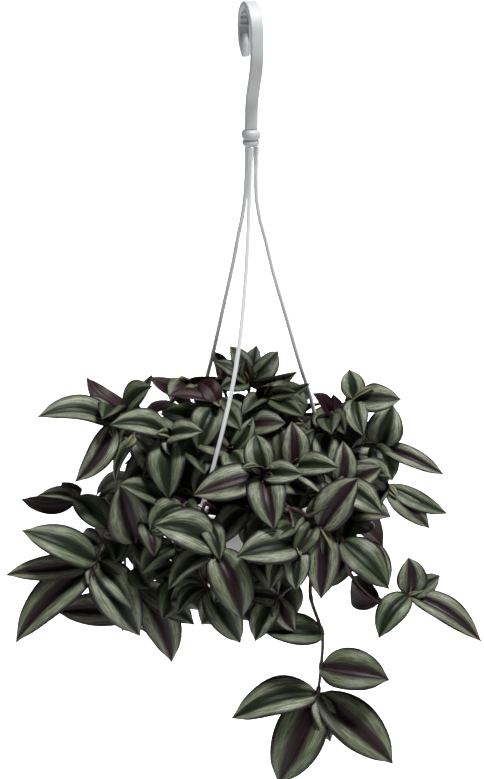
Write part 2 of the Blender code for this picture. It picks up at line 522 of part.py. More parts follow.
def pot_outline():
    """Outer then inner wall as (radius, height below the rim)."""
    shoulder = RIM_RADIUS - RIM_OVERHANG
    low_radius = BASE_RADIUS + LOW_KNEE[0]
    high_radius = shoulder - HIGH_KNEE[0]
    low_up = -POT_HEIGHT + LOW_KNEE[1]
    high_up = -POT_HEIGHT + HIGH_KNEE[1]
    outer = [(0, -POT_HEIGHT), (BASE_RADIUS - BASE_EDGE, -POT_HEIGHT), (BASE_RADIUS, -POT_HEIGHT + BASE_EDGE),
             (low_radius, low_up), (high_radius, high_up), (shoulder - NECK_INSET, -RIM_BAND),
             (RIM_RADIUS, -RIM_BAND + BASE_EDGE / 4), (RIM_RADIUS, -RIM_EDGE), (RIM_RADIUS - RIM_EDGE, 0)]
    inner = [(RIM_RADIUS - RIM_LIP, 0), (RIM_RADIUS - RIM_LIP - INNER_DRAFT, -RIM_EDGE),
             (shoulder - INNER_NECK_INSET, -RIM_BAND), (high_radius - WALL, high_up + KNEE_WALL_RISE[1]),
             (low_radius - WALL, low_up + KNEE_WALL_RISE[0]),
             (BASE_RADIUS - WALL, -POT_HEIGHT + BASE_EDGE + WALL), (0, -POT_HEIGHT + FLOOR_DISH + WALL)]
    return outer, inner


def build_pot(material):
    outer, inner = pot_outline()
    points, faces = turned_solid(outer + inner, POT_SIDES, (0, 0, RIM_Z))
    return add_object("pot", points, faces, material)


def build_soil(material):
    """Peat that fills the pot, clear of the walls and slightly crowned."""
    inner = pot_outline()[1]
    clear = SOIL_CLEARANCE
    (r1, z1), (r2, z2) = inner[1], inner[2]
    share = (SOIL_DROP + z1) / (z1 - z2)
    top_radius = r1 + (r2 - r1) * share - clear
    slope_radius, slope_rise = SOIL_SLOPE_SHARE
    outline = [(0, inner[-1][1] + clear), (inner[-2][0] - 2 * clear, inner[-2][1] + clear)]
    outline += [(radius - clear, height + clear / 2) for radius, height in (inner[4], inner[3], inner[2])]
    outline += [(top_radius, -SOIL_DROP), (top_radius * slope_radius, -SOIL_DROP + SOIL_CROWN * slope_rise),
                (0, -SOIL_DROP + SOIL_CROWN)]
    points, faces = turned_solid(outline, SOIL_SIDES, (0, 0, RIM_Z))
    return add_object("soil", points, faces, material)


def leaf_frame(base, along, roll):
    """Directions across the leaf and out of its upper face."""
    facing = Vector(FRONT_FACING if base.y < BACK_FACING_FROM else BACK_FACING)
    up = facing - along * facing.dot(along)
    if up.length < STEEP_LEAF:
        up = Vector((0, 0, 1)) - along * along.z
    up = Matrix.Rotation(math.radians(roll), 3, along) @ up.normalized()
    return along.cross(up), up


def leaf_solid(base, reach, width, roll, size=1.0):
    """A pointed leaf folded along its midrib, as a closed lens-section body in centimetres."""
    reach = reach * size
    width = width * size
    length = reach.length
    lift = Vector((0, 0, LEAF_LIFT * length))
    rounding, tapering, peak = LEAF_OUTLINE
    rings = []
    middle = []
    for share in LEAF_STATIONS:
        middle.append(base + reach * share + lift * (4 * share * (1 - share)))
    for i, share in enumerate(LEAF_STATIONS[:-1]):
        along = (middle[i + 1] - middle[max(i - 1, 0)]).normalized()
        across, up = leaf_frame(base, along, roll)
        shape = share ** rounding * (1 - share) ** tapering / peak
        half = max(width / 2 * LEAF_FULLNESS * shape, LEAF_LEAST_HALF)
        thick = LEAF_THICK / 2
        rise = up * (half * LEAF_FOLD)
        rings.append([middle[i] + across * half + rise, middle[i] + up * thick,
                      middle[i] - across * half + rise, middle[i] - up * thick])
    points, faces = ring_solid(rings)
    faces.pop()
    tip = len(points)
    points.append(middle[-1])
    start = tip - 4
    for j in range(4):
        faces.append((start + j, start + (j + 1) % 4, tip))
    return points, faces


def world(point):
    return Vector((point.x * CM, point.y * CM, point.z * CM + RIM_Z))


def tree_of(points, faces):
    return BVHTree.FromPolygons([tuple(p) for p in points], faces, epsilon=0)


def swollen(points, faces, by):
    """The same body with each point pushed out from it, as the space to keep clear."""
    mesh = bmesh.new()
    verts = [mesh.verts.new(p) for p in points]
    for face in faces:
        mesh.faces.new([verts[i] for i in face])
    bmesh.ops.recalc_face_normals(mesh, faces=mesh.faces)
    mesh.normal_update()
    moved = [vert.co + vert.normal * by for vert in verts]
    mesh.free()
    return moved


def clear_leaf(base, reach, width, roll, taken):
    """The leaf with the smallest turn and shrink that keeps it off everything built before."""
    for size in SHRINK_STEPS:
        for swing in TURN_STEPS:
            for dip in DIP_STEPS:
                turned = Matrix.Rotation(math.radians(swing), 3, "Z") @ reach
                side = turned.cross(Vector((0, 0, 1)))
                if side.length > 0.01:
                    turned = Matrix.Rotation(math.radians(dip), 3, side.normalized()) @ turned
                points, faces = leaf_solid(base, turned, width, roll, size)
                points = [world(p) for p in points]
                probe = tree_of(swollen(points, faces, LEAF_CLEARANCE * CM), faces)
                if not any(probe.overlap(tree) for tree in taken):
                    return points, faces
    return None


def stem_pieces(name, stems, placed):
    """The stems of one cutting as solids, with the points that its leaves grow from."""
    pieces = []
    spots = []
    for order, (nodes, _) in enumerate(stems):
        path = smooth_path([Vector(p) for p in nodes], PATH_STEPS)
        thick = STEM_RADIUS if order == 0 else STEM_RADIUS * BRANCH_SHARE
        radii = [thick * (1 - STEM_TAPER * i / (len(path) - 1)) for i in range(len(path))]
        points, faces = tube(path, radii, STEM_SIDES)
        points = [world(p) for p in points]
        probe = tree_of(swollen(points, faces, STEM_CLEARANCE * CM), faces)
        for other, trees in placed.items():
            if any(probe.overlap(tree) for tree in trees):
                print("stem", name, order, "meets", other)
        pieces.append((points, faces))
        spots.append(path[::PATH_STEPS])
    return pieces, spots


def build_foliage(material, placed):
    """All the cuttings: stems first, then each leaf turned until it is clear, then united."""
    shoots = {}
    for name, stems in SHOOTS.items():
        pieces, spots = stem_pieces(name, stems, placed)
        shoots[name] = (pieces, spots)
        placed[name] = [tree_of(*piece) for piece in pieces]
    for name, stems in SHOOTS.items():
        pieces, spots = shoots[name]
        taken = [tree for other, trees in placed.items() if other != name for tree in trees]
        for (_, leaves), nodes in zip(stems, spots):
            for node, right, back, up, width, roll in leaves:
                reach = Vector((right, back, up))
                base = nodes[node] + reach.normalized() * LEAF_INSET
                found = clear_leaf(base, reach, width, roll, taken)
                if found is None:
                    print("no room for a leaf of", name, node, right, back, up)
                else:
                    pieces.append(found)
                    placed[name].append(tree_of(*found))
        parts = [add_object(f"{name}_{i}", *piece, material, split=True) for i, piece in enumerate(pieces)]
        shoot = joined(parts[0], parts[1:])
        shoot.name = name
        for polygon in shoot.data.polygons:
            polygon.use_smooth = True


def plain_mesh(obj):
    points = [obj.matrix_world @ vert.co for vert in obj.data.vertices]
    return points, [tuple(polygon.vertices) for polygon in obj.data.polygons]


def main():
    clear_scene()
    white = make_material("white_plastic", (0.80, 0.81, 0.80), 0.42)
    foliage = make_material("foliage", (0.10, 0.15, 0.09), 0.38)
    peat = make_material("peat", (0.030, 0.022, 0.016), 0.95)
    build_hook(white)
    build_collar(white)
    placed = [build_pot(white), build_soil(peat)]
    for name, direction in STRAND_DIRECTIONS.items():
        placed.append(build_strand(name, direction, white))
    build_foliage(foliage, {obj.name: [tree_of(*plain_mesh(obj))] for obj in placed})


main()
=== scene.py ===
import math
import random
import bpy
import bmesh
import numpy as np
from mathutils import Matrix, Vector, noise
from mathutils.kdtree import KDTree


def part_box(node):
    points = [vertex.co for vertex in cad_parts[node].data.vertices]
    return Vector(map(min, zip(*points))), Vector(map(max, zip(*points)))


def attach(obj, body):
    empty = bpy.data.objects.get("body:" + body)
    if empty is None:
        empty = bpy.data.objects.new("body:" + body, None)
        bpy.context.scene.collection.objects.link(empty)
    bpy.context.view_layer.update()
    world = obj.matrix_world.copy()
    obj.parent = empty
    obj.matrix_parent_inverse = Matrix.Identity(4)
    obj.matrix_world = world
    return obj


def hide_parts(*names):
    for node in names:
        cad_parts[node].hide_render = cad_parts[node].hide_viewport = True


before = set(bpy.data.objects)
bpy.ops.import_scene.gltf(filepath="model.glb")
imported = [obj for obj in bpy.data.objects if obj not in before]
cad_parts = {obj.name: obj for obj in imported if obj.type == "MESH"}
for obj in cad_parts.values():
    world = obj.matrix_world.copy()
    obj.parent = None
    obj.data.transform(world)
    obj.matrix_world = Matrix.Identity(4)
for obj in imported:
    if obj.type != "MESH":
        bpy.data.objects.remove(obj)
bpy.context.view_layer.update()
potLow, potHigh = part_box("pot")
soilLow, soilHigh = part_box("soil")
rimZ = potHigh.z
rimRadius = (potHigh.x - potLow.x) / 2
print("frame loaded:", len(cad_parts), "parts")


class Sock:  # one output socket that can be used in sums
    def __init__(self, tree, out=None):
        self.tree = tree
        self.out = out

    def node(self, kind, settings, inputs, output=0):
        made = self.tree.nodes.new("ShaderNode" + kind)
        for name, value in settings.items():
            setattr(made, name, value)
        for name, value in inputs.items():
            if isinstance(value, Sock):
                self.tree.links.new(value.out, made.inputs[name])
            else:
                made.inputs[name].default_value = value
        return Sock(self.tree, made.outputs[output])

    def calc(self, operation, *terms):
        return self.node("Math", {"operation": operation}, dict(enumerate(terms)))

    def __add__(self, other):
        return self.calc("ADD", self, other)

    def __radd__(self, other):
        return self.calc("ADD", other, self)

    def __sub__(self, other):
        return self.calc("SUBTRACT", self, other)

    def __rsub__(self, other):
        return self.calc("SUBTRACT", other, self)

    def __mul__(self, other):
        return self.calc("MULTIPLY", self, other)

    def __rmul__(self, other):
        return self.calc("MULTIPLY", other, self)

    def __abs__(self):
        return self.calc("ABSOLUTE", self)

    def ease(self, low, high, start=0.0, end=1.0):  # smooth step between two values
        span = {"From Min": low, "From Max": high, "To Min": start, "To Max": end}
        return self.node("MapRange", {"interpolation_type": "SMOOTHSTEP"}, {"Value": self, **span})

    def blend(self, first, second):  # this socket is the factor between two colours
        return self.node("Mix", {"data_type": "RGBA"}, {0: self, 6: first, 7: second}, output=2)

    def stretched(self, by):
        return self.node("VectorMath", {"operation": "MULTIPLY"}, {0: self, 1: by})

    def moved(self, by):
        return self.node("VectorMath", {"operation": "ADD"}, {0: self, 1: by})

    def mark(self, name):  # a value kept on the mesh
        return self.node("Attribute", {"attribute_name": name}, {}, output="Fac")

    def grain(self, scale, detail=3.0, rough=0.5):
        inputs = {"Vector": self, "Scale": scale, "Detail": detail, "Roughness": rough}
        return self.node("TexNoise", {}, inputs)

    def joined(self, side, depth):  # this socket and two more as a vector
        return self.node("CombineXYZ", {}, {"X": self, "Y": side, "Z": depth})


def newFinish(name, constants):  # a material with its shader's own values set
    material = bpy.data.materials.new(name)
    material.use_nodes = True
    tree = material.node_tree
    shader = tree.nodes["Principled BSDF"]
    for socket, value in constants.items():
        shader.inputs[socket].default_value = value
    start = Sock(tree)
    place = start.node("TexCoord", {}, {}, output="Object")

    def feed(**links):
        for socket, value in links.items():
            tree.links.new(value.out, shader.inputs[socket.replace("_", " ")])
    return material, start, place, feed


def bumpOf(start, height, strength, distance):
    return start.node("Bump", {}, {"Height": height, "Strength": strength, "Distance": distance})


def meshPiece(name, points, faces, material, smooth=True):
    mesh = bpy.data.meshes.new(name)
    mesh.from_pydata([tuple(p) for p in points], [], faces)
    if smooth:
        mesh.polygons.foreach_set("use_smooth", [True] * len(mesh.polygons))
    piece = bpy.data.objects.new(name, mesh)
    bpy.context.scene.collection.objects.link(piece)
    mesh.materials.append(material)
    return piece


def outward(piece):
    work = bmesh.new()
    work.from_mesh(piece.data)
    bmesh.ops.recalc_face_normals(work, faces=work.faces)
    work.to_mesh(piece.data)
    work.free()
    return piece


def settle(piece, slotName, *nodes):
    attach(piece, "root")
    if nodes:
        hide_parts(*nodes)
    return piece


def smoothPath(points, steps):  # Catmull-Rom through the points
    points = [np.array(p, float) for p in points]
    last = len(points) - 1
    path = []
    for i in range(last):
        p0, p1, p2, p3 = points[max(i - 1, 0)], points[i], points[i + 1], points[min(i + 2, last)]
        for t in np.linspace(0, 1, steps, endpoint=False):
            path.append(0.5 * (2 * p1 + (p2 - p0) * t + (2 * p0 - 5 * p1 + 4 * p2 - p3) * t ** 2
                               + (3 * p1 - p0 - 3 * p2 + p3) * t ** 3))
    path.append(points[last])
    return np.array(path)


def unit(vector):
    return vector / max(np.linalg.norm(vector), 1e-9)


def ringFaces(rings, count, offset=0):  # sides and both ends of a run of rings
    faces = []
    for i in range(rings - 1):
        for j in range(count):
            k = (j + 1) % count
            faces.append((offset + i * count + j, offset + i * count + k,
                          offset + (i + 1) * count + k, offset + (i + 1) * count + j))
    faces.append(tuple(offset + j for j in reversed(range(count))))
    faces.append(tuple(offset + (rings - 1) * count + j for j in range(count)))
    return faces


# Every cutting: its stems as the points they pass through, in cm from the middle of the rim
# (right, back, up), then its leaves as (point it grows at, reach right, back, up, width, roll in degrees).
cuttings = {
    "shoot_top_centre": [
        ([(0.5, 1.5, -0.2), (1, 2.5, 4), (0.5, 1.5, 9)],
         [(2, -1.5, 1.5, 3, 1.6, 10), (2, 2.5, 2, 2.5, 1.7, 20), (2, 4.2, 0, 1.2, 1.2, 60),
          (2, -0.2, -0.4, 2.4, 1.1, 0), (2, -3, 0.4, 1.8, 1.6, 0), (2, 0.8, 1.6, 3, 1.5, 0),
          (2, -2.4, -1.8, 0.2, 1.6, 0), (1, -3.5, 1, 2, 2.2, 0), (1, -1.6, -1.8, 2.4, 1.8, 0)]),
        ([(1, 2.5, 4), (2, 0.5, 7), (2, -1, 8.6)],
         [(2, 3.8, 0, 1.2, 1.1, 50), (2, 2.6, -2.2, 1, 1.1, 40), (2, -2, -3, -0.6, 1.6, 0),
          (2, 3.2, -3, -0.6, 1.7, 0), (2, 0.4, -2, 1.6, 1.5, 0), (2, 3.6, -1.2, -0.4, 1.4, 0),
          (1, 4, 2, 1, 2.3, 0), (1, 2.6, -1.6, 1.8, 1.8, 0)]),
    ],
    "shoot_top_back": [
        ([(-0.6, 3.2, -0.2), (-0.8, 4.4, 4.4), (-1.6, 4, 8)],
         [(2, -2.8, 0.6, 1.6, 1.7, 0), (2, -1, 0.8, 3, 1.6, 0), (2, 1.6, 0.6, 2.4, 1.6, 0),
          (2, -2.2, -1.6, 0.2, 1.7, 0), (2, 2.4, -1, 0.8, 1.6, 0)]),
    ],
    "shoot_top_left": [
        ([(-1.5, 1.5, -0.2), (-3, 2, 5), (-4.5, 0.5, 9.2)],
         [(2, -3.6, 3, -0.4, 1.7, 170), (2, 2.2, -0.4, 0.6, 1.1, 60), (2, -1.5, -2.8, -0.8, 2, 0),
          (1, -4, 2.5, 0.5, 2.4, 0)]),
        ([(-3, 2, 5), (-2.2, -1, 7.5), (-2, -2.5, 8.2)],
         [(2, -4.2, -0.4, 1, 2, 40), (2, -1.6, 2, 1.6, 1.5, 0), (2, -1.5, -2.6, -3.2, 2.5, 0),
          (2, 2, -2.4, -1.2, 1.8, 0)]),
    ],
    "shoot_left_high": [
        ([(-2.8, 0.5, -0.2), (-6.5, 1, 4), (-9.8, -1, 7.2), (-10.8, -2, 6.3)],
         [(2, -3.5, 2.2, 2.1, 1.8, 175), (2, 2.2, 2.4, 2.6, 1.3, 60), (2, 2.2, -1.4, 2.6, 2.6, 0),
          (3, -3.6, 2.4, 1, 2, 0), (3, -6.1, -2, 1.2, 2.7, 0), (3, -2.8, -3, -4.2, 2, -30)]),
        ([(-6.5, 1, 4), (-8.5, -1.5, 6), (-9, -3, 5.5)],
         [(2, -1.6, -1.6, -3.4, 1.5, 30), (2, 2.6, -2, -3, 2.2, 0)]),
    ],
    "shoot_left_inner": [
        ([(-2.5, -1.8, -0.2), (-4.5, -3, 4), (-6, -5, 6.2)],
         [(2, -4.8, -1, 1.4, 2.4, 10), (2, 0.2, -2.2, -4.6, 2.8, 0), (2, 0.3, -1.6, -1.2, 1.4, 0),
          (2, 2.8, -2, 1.2, 2.2, 0), (1, -3.5, -3.4, -1.5, 2.6, 0)]),
    ],
    "shoot_left_mid": [
        ([(-3.5, -0.8, -0.2), (-7, -0.8, 1.8), (-9.5, -1, -0.8), (-11.5, -1, -2), (-14, -1, -1)],
         [(4, -4.6, -0.6, 0.2, 1.5, 165), (4, -1.2, 1.6, 1.2, 1.8, 150), (4, -3, -2, 1.2, 1.4, 0),
          (3, 2.6, -1.4, 2.6, 1.2, 40), (1, -2.5, -1.5, 3.2, 2.4, 0)]),
    ],
    "shoot_left_low": [
        ([(-4, -2, -0.2), (-8, -3, 0.8), (-11, -3.6, -2.5), (-12, -4, -5.4)],
         [(3, -6.2, -1.2, 3.2, 3, 0), (3, -7.6, -1.2, -0.4, 2, -15), (3, -7, -2, -6.2, 3, -10),
          (3, 3.6, -3, -5.4, 3.4, 0), (3, 5, -3, -1.6, 2.4, 0), (3, -0.4, -2.2, -1.6, 1.2, 0),
          (2, -3.5, 2, 1.5, 2.4, 0)]),
        ([(-8, -3, 0.8), (-9.6, -2.4, -4), (-9.4, -3, -10.6)],
         [(2, -6, -1.2, 0.9, 2.6, 0), (2, 1.4, 2.5, -2, 2.4, 0), (1, 2.5, 3, -1, 2.4, 0)]),
    ],
    "shoot_left_front": [
        ([(-3.4, -3.6, -0.2), (-6.5, -6, 1), (-8.6, -6, -2.8), (-8.4, -4.8, -7.2)],
         [(2, -1.2, -0.8, 5.4, 3.3, 0), (3, 3, -0.8, -6.4, 2.8, 0), (3, 4.8, -1.2, -2.8, 2.4, 0),
          (2, 3.6, -2, -2.4, 2.4, 0), (1, -3.4, -1.5, 2, 2.2, 0)]),
    ],
    "shoot_front_left": [
        ([(-2, -5, -0.2), (-2.8, -8, 1.4), (-3, -9.8, 0.6), (-2, -11, -1.5)],
         [(2, -4, -1.4, -0.4, 2.2, 10), (2, 1.6, -2.4, -2.4, 1.7, 0), (3, -4.9, -1.2, 2.4, 3.2, 0),
          (3, 2.4, -2, -5, 3.2, 0), (3, -3.6, -1.6, -2.8, 2, 0)]),
        ([(-3, -9.8, 0.6), (-3.4, -9.6, -2.6), (-2.6, -10, -5.2)],
         [(2, 3, -1, -4.2, 2.4, 0), (2, -2.2, -1.6, -1.6, 1.7, 20), (2, -3, 1, -1.6, 2.2, 0)]),
    ],
    "shoot_front_high": [
        ([(-0.6, -2.4, -0.2), (-0.3, -3.2, 3), (-0.9, -4.5, 4.8)],
         [(2, -3.4, -1.4, -2.8, 2.3, 0), (2, 1.2, -2.6, -1.6, 2.2, 0), (2, 1.8, 0.6, 3, 1.4, 30),
          (2, -2.2, 0.4, 2.6, 2, 0), (1, -3.4, -1.6, 1.2, 2.4, 0), (1, 2.4, -1, 2.6, 2, 0),
          (1, 3.4, -2.6, -1.6, 2.4, 0)]),
    ],
    "shoot_centre": [
        ([(1.5, -3, -0.2), (2.2, -6, 3), (2, -9, 4.4)],
         [(2, -0.8, 1.6, 3, 2.2, 0), (2, -5.8, -1.6, -1.2, 3, 10), (2, 1, -3.4, -3.4, 2.8, 0),
          (2, -2, -2.4, 1.4, 1.2, 30), (2, 3, -1.4, 0.6, 2, 0), (1, 3.4, -1, 1.6, 2.4, 0)]),
    ],
    "shoot_centre_right": [
        ([(3, -1.8, -0.2), (3.8, -4, 2.6), (4.4, -6, 4)],
         [(2, 3.6, -2, 0.8, 2.1, 0), (2, -0.2, 1, 3.8, 2.2, 0), (2, 2.4, -2.6, -1.4, 2, 0),
          (1, 2.4, 1.2, 4, 1.6, 20), (1, -2.6, 1.5, 3.4, 2.2, 0), (1, 0.6, -2.2, -3.3, 2.8, 0)]),
    ],
    "shoot_front_right": [
        ([(2.2, -4.8, -0.2), (4, -8, 1.2), (4.6, -11, -1)],
         [(2, -4.8, -2, 0, 3.1, 0), (2, 0, -2, -3, 2, 0), (2, -2, -1.2, -3.2, 2, 10),
          (1, -2.8, -2, 0.4, 1.8, 0)]),
        ([(4, -8, 1.2), (5.4, -9.8, 1.2), (6.6, -10.6, 0.4)],
         [(2, 0, -2, -5.2, 2.6, 0), (2, 2.8, -0.4, 4.8, 2.9, 0), (1, 1, -1.8, -4, 2.4, 0)]),
    ],
    "shoot_trailing": [
        ([(3.5, -4.4, -0.2), (5.9, -6.4, 1.4), (6, -9.6, -3), (6, -10.6, -5.6), (7, -11, -8.6),
          (7, -11, -11.6), (6.8, -11, -14)],
         [(4, -4.8, -1, 0.6, 2.6, 0), (5, 5.6, -1.2, 0, 3.4, 0), (6, -7, -1.4, -1.8, 3, 0),
          (6, -3.4, -1.6, -7.2, 3.8, 0), (6, 6.6, -1.4, -5, 3.4, 0), (6, 1, -1.8, -3.4, 1.8, 0)]),
        ([(6, -9.6, -3), (4.6, -10.6, -4.4), (3.2, -11, -5.5)],
         [(2, -1.6, -1.6, -3.2, 2.1, 0), (2, 1.5, -1.4, -2.4, 1.8, 0), (2, -3, -1, 0.8, 2, 0)]),
    ],
    "shoot_right_low": [
        ([(4.6, -3.5, -0.2), (6.6, -4.6, 1.3), (8.6, -6.8, -2), (9.4, -6.8, -5), (12, -6, -7.6),
          (14.4, -6, -7)],
         [(2, 4, -2, -3.2, 3, 0), (4, -2.6, -1.6, 2.6, 2.4, 160), (5, -0.2, 0.6, 3.2, 2.2, 0),
          (5, 2.6, 0.6, 1.6, 1.6, 20), (5, 6, -2, -3.2, 2.3, 0), (5, -2.6, -2, -3, 2.2, 0)]),
    ],
    "shoot_right_front": [
        ([(4.1, -1.5, -0.2), (6.4, -3, 2.6), (8.4, -5, 2.2)],
         [(2, 0.2, 0.6, 3.8, 2, 10), (2, 3.4, -2.4, -1.4, 2.3, 0), (2, -0.6, -3, -2.6, 2.2, 0),
          (2, 3.4, -0.4, 1.8, 2, 20)]),
    ],
    "shoot_right_mid": [
        ([(5.4, -0.5, -0.2), (7.6, -1.6, 3.2), (11, -1.8, 2.6), (12.4, -3, 1.6)],
         [(3, 5, -1.2, -2, 1.5, 20), (3, 3.6, -2, -2.8, 2, 0), (3, -2.6, -1.4, 2.6, 2.2, 0),
          (3, -1.4, -2, -2.2, 1.3, 30), (2, 1, 2.5, -2.5, 2.2, 0)]),
        ([(7.6, -1.6, 3.2), (10, -0.4, 4.2), (12, 0, 4.1)],
         [(2, 1, 0.4, 3.6, 2.8, 0), (2, 5.2, -2, -1.6, 1.6, 10), (2, 2.6, -0.4, -0.2, 1.3, 170),
          (2, 1, -2, -2.2, 1.7, 0), (1, -1.2, 3, 2, 2.2, 0)]),
    ],
    "shoot_right_high": [
        ([(3, 0.4, -0.2), (5.2, -0.8, 4), (7.6, -1.4, 7.4), (9.5, -1, 8.5)],
         [(3, 3.8, -1, 0.6, 2.3, 0), (3, 0.6, -2.8, -2.2, 1.9, 0), (3, -0.6, 1, 2.4, 1.8, 0),
          (2, 1, -3, -0.8, 1.6, 20), (2, -1.6, -1.2, 2.2, 1.7, 0), (1, 3.6, 2, 1, 2.4, 0)]),
        ([(5.2, -0.8, 4), (7.3, -2.4, 5.9)],
         [(1, 0.4, 1.2, 3.2, 1.7, 165), (1, -0.2, -2.6, -2.4, 2, 0)]),
    ],
    "shoot_middle_left": [
        ([(-3.2, -0.6, -0.2), (-4.6, -1.2, 3), (-6.6, -2.6, 4)],
         [(2, -3.4, -2.4, -1.4, 2.6, 0), (2, -0.6, -2.6, -3.6, 2.7, 0), (2, -3.4, 1.2, 0.8, 2.2, 0),
          (1, 3, -2, 1.4, 2.4, 0), (1, 1.2, -2.8, -1.6, 2.4, 0)]),
    ],
    "shoot_middle": [
        ([(0.4, -0.8, -0.2), (0.2, -1.6, 4), (0.4, -3.1, 6.5)],
         [(2, -2.8, -2.4, 0.8, 2.3, 0), (2, 2.6, -2.4, 0.2, 2.2, 0), (2, 0.2, -3, -2.6, 2.4, 0),
          (2, 1.8, 1, 2.8, 1.8, 0), (2, -1.8, 1.2, 2.8, 1.8, 0), (1, -3.6, -1.6, 0.4, 2.5, 0),
          (1, 3.4, -2, 0.2, 2.5, 0)]),
    ],
    "shoot_middle_right": [
        ([(2.2, 1.2, -0.2), (3, 0.6, 4), (4.2, -1, 6.2)],
         [(2, 1.2, -2.8, -1.6, 2.2, 0), (2, -1.6, -2.8, -2.4, 2.3, 0), (2, 0.8, 1.4, 3, 1.8, 0),
          (2, -2.4, 0.4, 2.4, 2, 0), (1, 3.4, -2.2, -0.4, 2.4, 0), (1, -2.6, -2.6, -1.6, 2.4, 0)]),
    ],
    "shoot_front_low": [
        ([(0.6, -4.6, -0.2), (0.6, -8.4, 1), (0.4, -9.6, -2.4)],
         [(2, -2.4, -1.4, -3.6, 2.5, 0), (2, 2.4, -1.6, -3.2, 2.3, 0), (2, 3, -1.2, 0.4, 2.2, 0),
          (1, -2.4, -2, -2.4, 2.2, 0)]),
    ],
    "shoot_skirt_left": [
        ([(-3, -4.7, -0.2), (-4.6, -7, 0.8), (-5.2, -7.8, -2.4), (-5, -7.6, -5.4)],
         [(1, -3, -1, -1.4, 2.4, 0), (1, 1.6, -1.6, -2.4, 2.4, 0), (2, -2.8, -0.8, -2.2, 2.5, 0),
          (2, 2.4, -1, -2.6, 2.5, 0), (3, -1.8, -0.8, -3, 2.4, 0), (3, 2, -0.8, -2.4, 2.4, 0)]),
    ],
    "shoot_skirt_middle": [
        ([(-0.9, -5.6, -0.2), (-1.1, -8.3, 0.7), (-1.2, -8.9, -2.6), (-1, -8.6, -5.8)],
         [(2, -3, -0.6, -1.4, 2.5, 0), (2, 3, -0.8, -1.6, 2.5, 0), (3, -2, -0.8, -2.8, 2.4, 0),
          (3, 2.2, -0.8, -2.4, 2.4, 0)]),
    ],
    "shoot_skirt_right": [
        ([(1.6, -5.5, -0.2), (2.2, -8.4, 0.7), (2.5, -8.8, -2.4), (2.7, -8.6, -5.2)],
         [(1, 2.6, -0.8, -1.8, 2.4, 0), (1, -2.2, -1, -2, 2.3, 0), (2, 3, -0.6, -1.8, 2.5, 0),
          (2, -2.6, -0.8, -1.8, 2.4, 0), (3, 2.2, -0.6, -2.6, 2.4, 0)]),
    ],
    "shoot_right_inner": [
        ([(4.4, 1.8, -0.2), (7, 2, 2.6), (9, 2, 3)],
         [(2, 2.8, -2.4, -2.6, 2.6, 0), (2, -0.6, -2.8, -3, 2.4, 0), (2, 3.6, 1.4, 0.4, 2.4, 0),
          (2, -1, 1.4, 3, 2.2, 0), (1, -0.4, 2.2, 3.6, 2.2, 0)]),
    ],
    "shoot_right_hang": [
        ([(5.3, -2.4, -0.2), (7.2, -3.2, 2), (9.2, -4.2, -0.6), (9.6, -4.6, -3.4)],
         [(3, 2.8, -1.8, -2.8, 2.4, 0), (3, -2.2, -1.6, -3, 2.3, 0), (2, 3.4, -1.6, 0.6, 2.4, 0),
          (2, -2, -2, -2.8, 2.4, 0)]),
    ],
    "shoot_left_hang": [
        ([(-4.4, 0.8, -0.2), (-7, 1.8, 1.4), (-8.8, 2.2, -2), (-9.4, 2, -5.4)],
         [(3, -4, -1.4, -2.8, 2.6, 0), (3, 2.6, -2, -3, 2.6, 0), (2, -3.4, -2, 1, 2.5, 0),
          (2, 2.8, -2.6, 0.4, 2.5, 0), (2, -3.4, 2.4, -1, 2.4, 0)]),
    ],
    "shoot_back_centre": [
        ([(0, 4.6, -0.2), (0.4, 8, 0.8), (0.6, 10.4, -2), (1, 11, -5.2)],
         [(1, -4, 2.4, 1, 2.6, 0), (1, 4.4, 2, 0.8, 2.6, 0), (2, -4, 1.6, -2.6, 2.8, 0),
          (2, 3.4, 2.4, -3, 2.8, 0), (3, -1.8, 1.4, -4.2, 2.8, 0)]),
    ],
    "shoot_back_left": [
        ([(-3.2, 3.6, -0.2), (-6.4, 6.4, 0.8), (-8.6, 7.6, -2.2), (-9.4, 8, -5)],
         [(1, -3, 3.2, 1, 2.6, 0), (2, -4.4, 1.4, -1.6, 2.8, 0), (2, 2, 4.4, -2, 2.7, 0),
          (3, -3.4, 1.2, -4, 2.8, 0), (3, 2.2, 2.6, -3.6, 2.6, 0)]),
    ],
    "shoot_back_right": [
        ([(3.6, 3.4, -0.2), (6.8, 6.2, 1), (8.8, 7.4, -1.6), (9.6, 7.8, -4.4)],
         [(1, 3.4, 3, 1, 2.6, 0), (2, 4.2, 1.8, -1.8, 2.8, 0), (2, -1.8, 4.4, -2.2, 2.7, 0),
          (3, 3.4, 1, -3.6, 2.8, 0), (3, -2.4, 2.8, -3.4, 2.6, 0)]),
    ],
    "shoot_back_high_left": [
        ([(-1.6, 4, -0.2), (-3.2, 6, 3.4), (-4.6, 7.2, 4.2)],
         [(2, -4, 2.4, -0.8, 2.6, 0), (2, 0.4, 4.4, -1.6, 2.6, 0), (2, -2, 0.2, 2, 2, 0),
          (1, 3, 2.4, 0.8, 2.4, 0), (1, -4, -1, 0.6, 2.4, 0)]),
    ],
    "shoot_back_high_right": [
        ([(2.4, 3.4, -0.2), (3.8, 5.6, 3.4), (5, 6.8, 4)],
         [(2, 4, 2.4, -1, 2.6, 0), (2, 0, 4.4, -1.6, 2.6, 0), (2, 2.2, 0, 1.8, 2, 0),
          (1, -3, 2.6, 1, 2.4, 0), (1, 4, -0.6, 0.4, 2.4, 0)]),
    ],
}


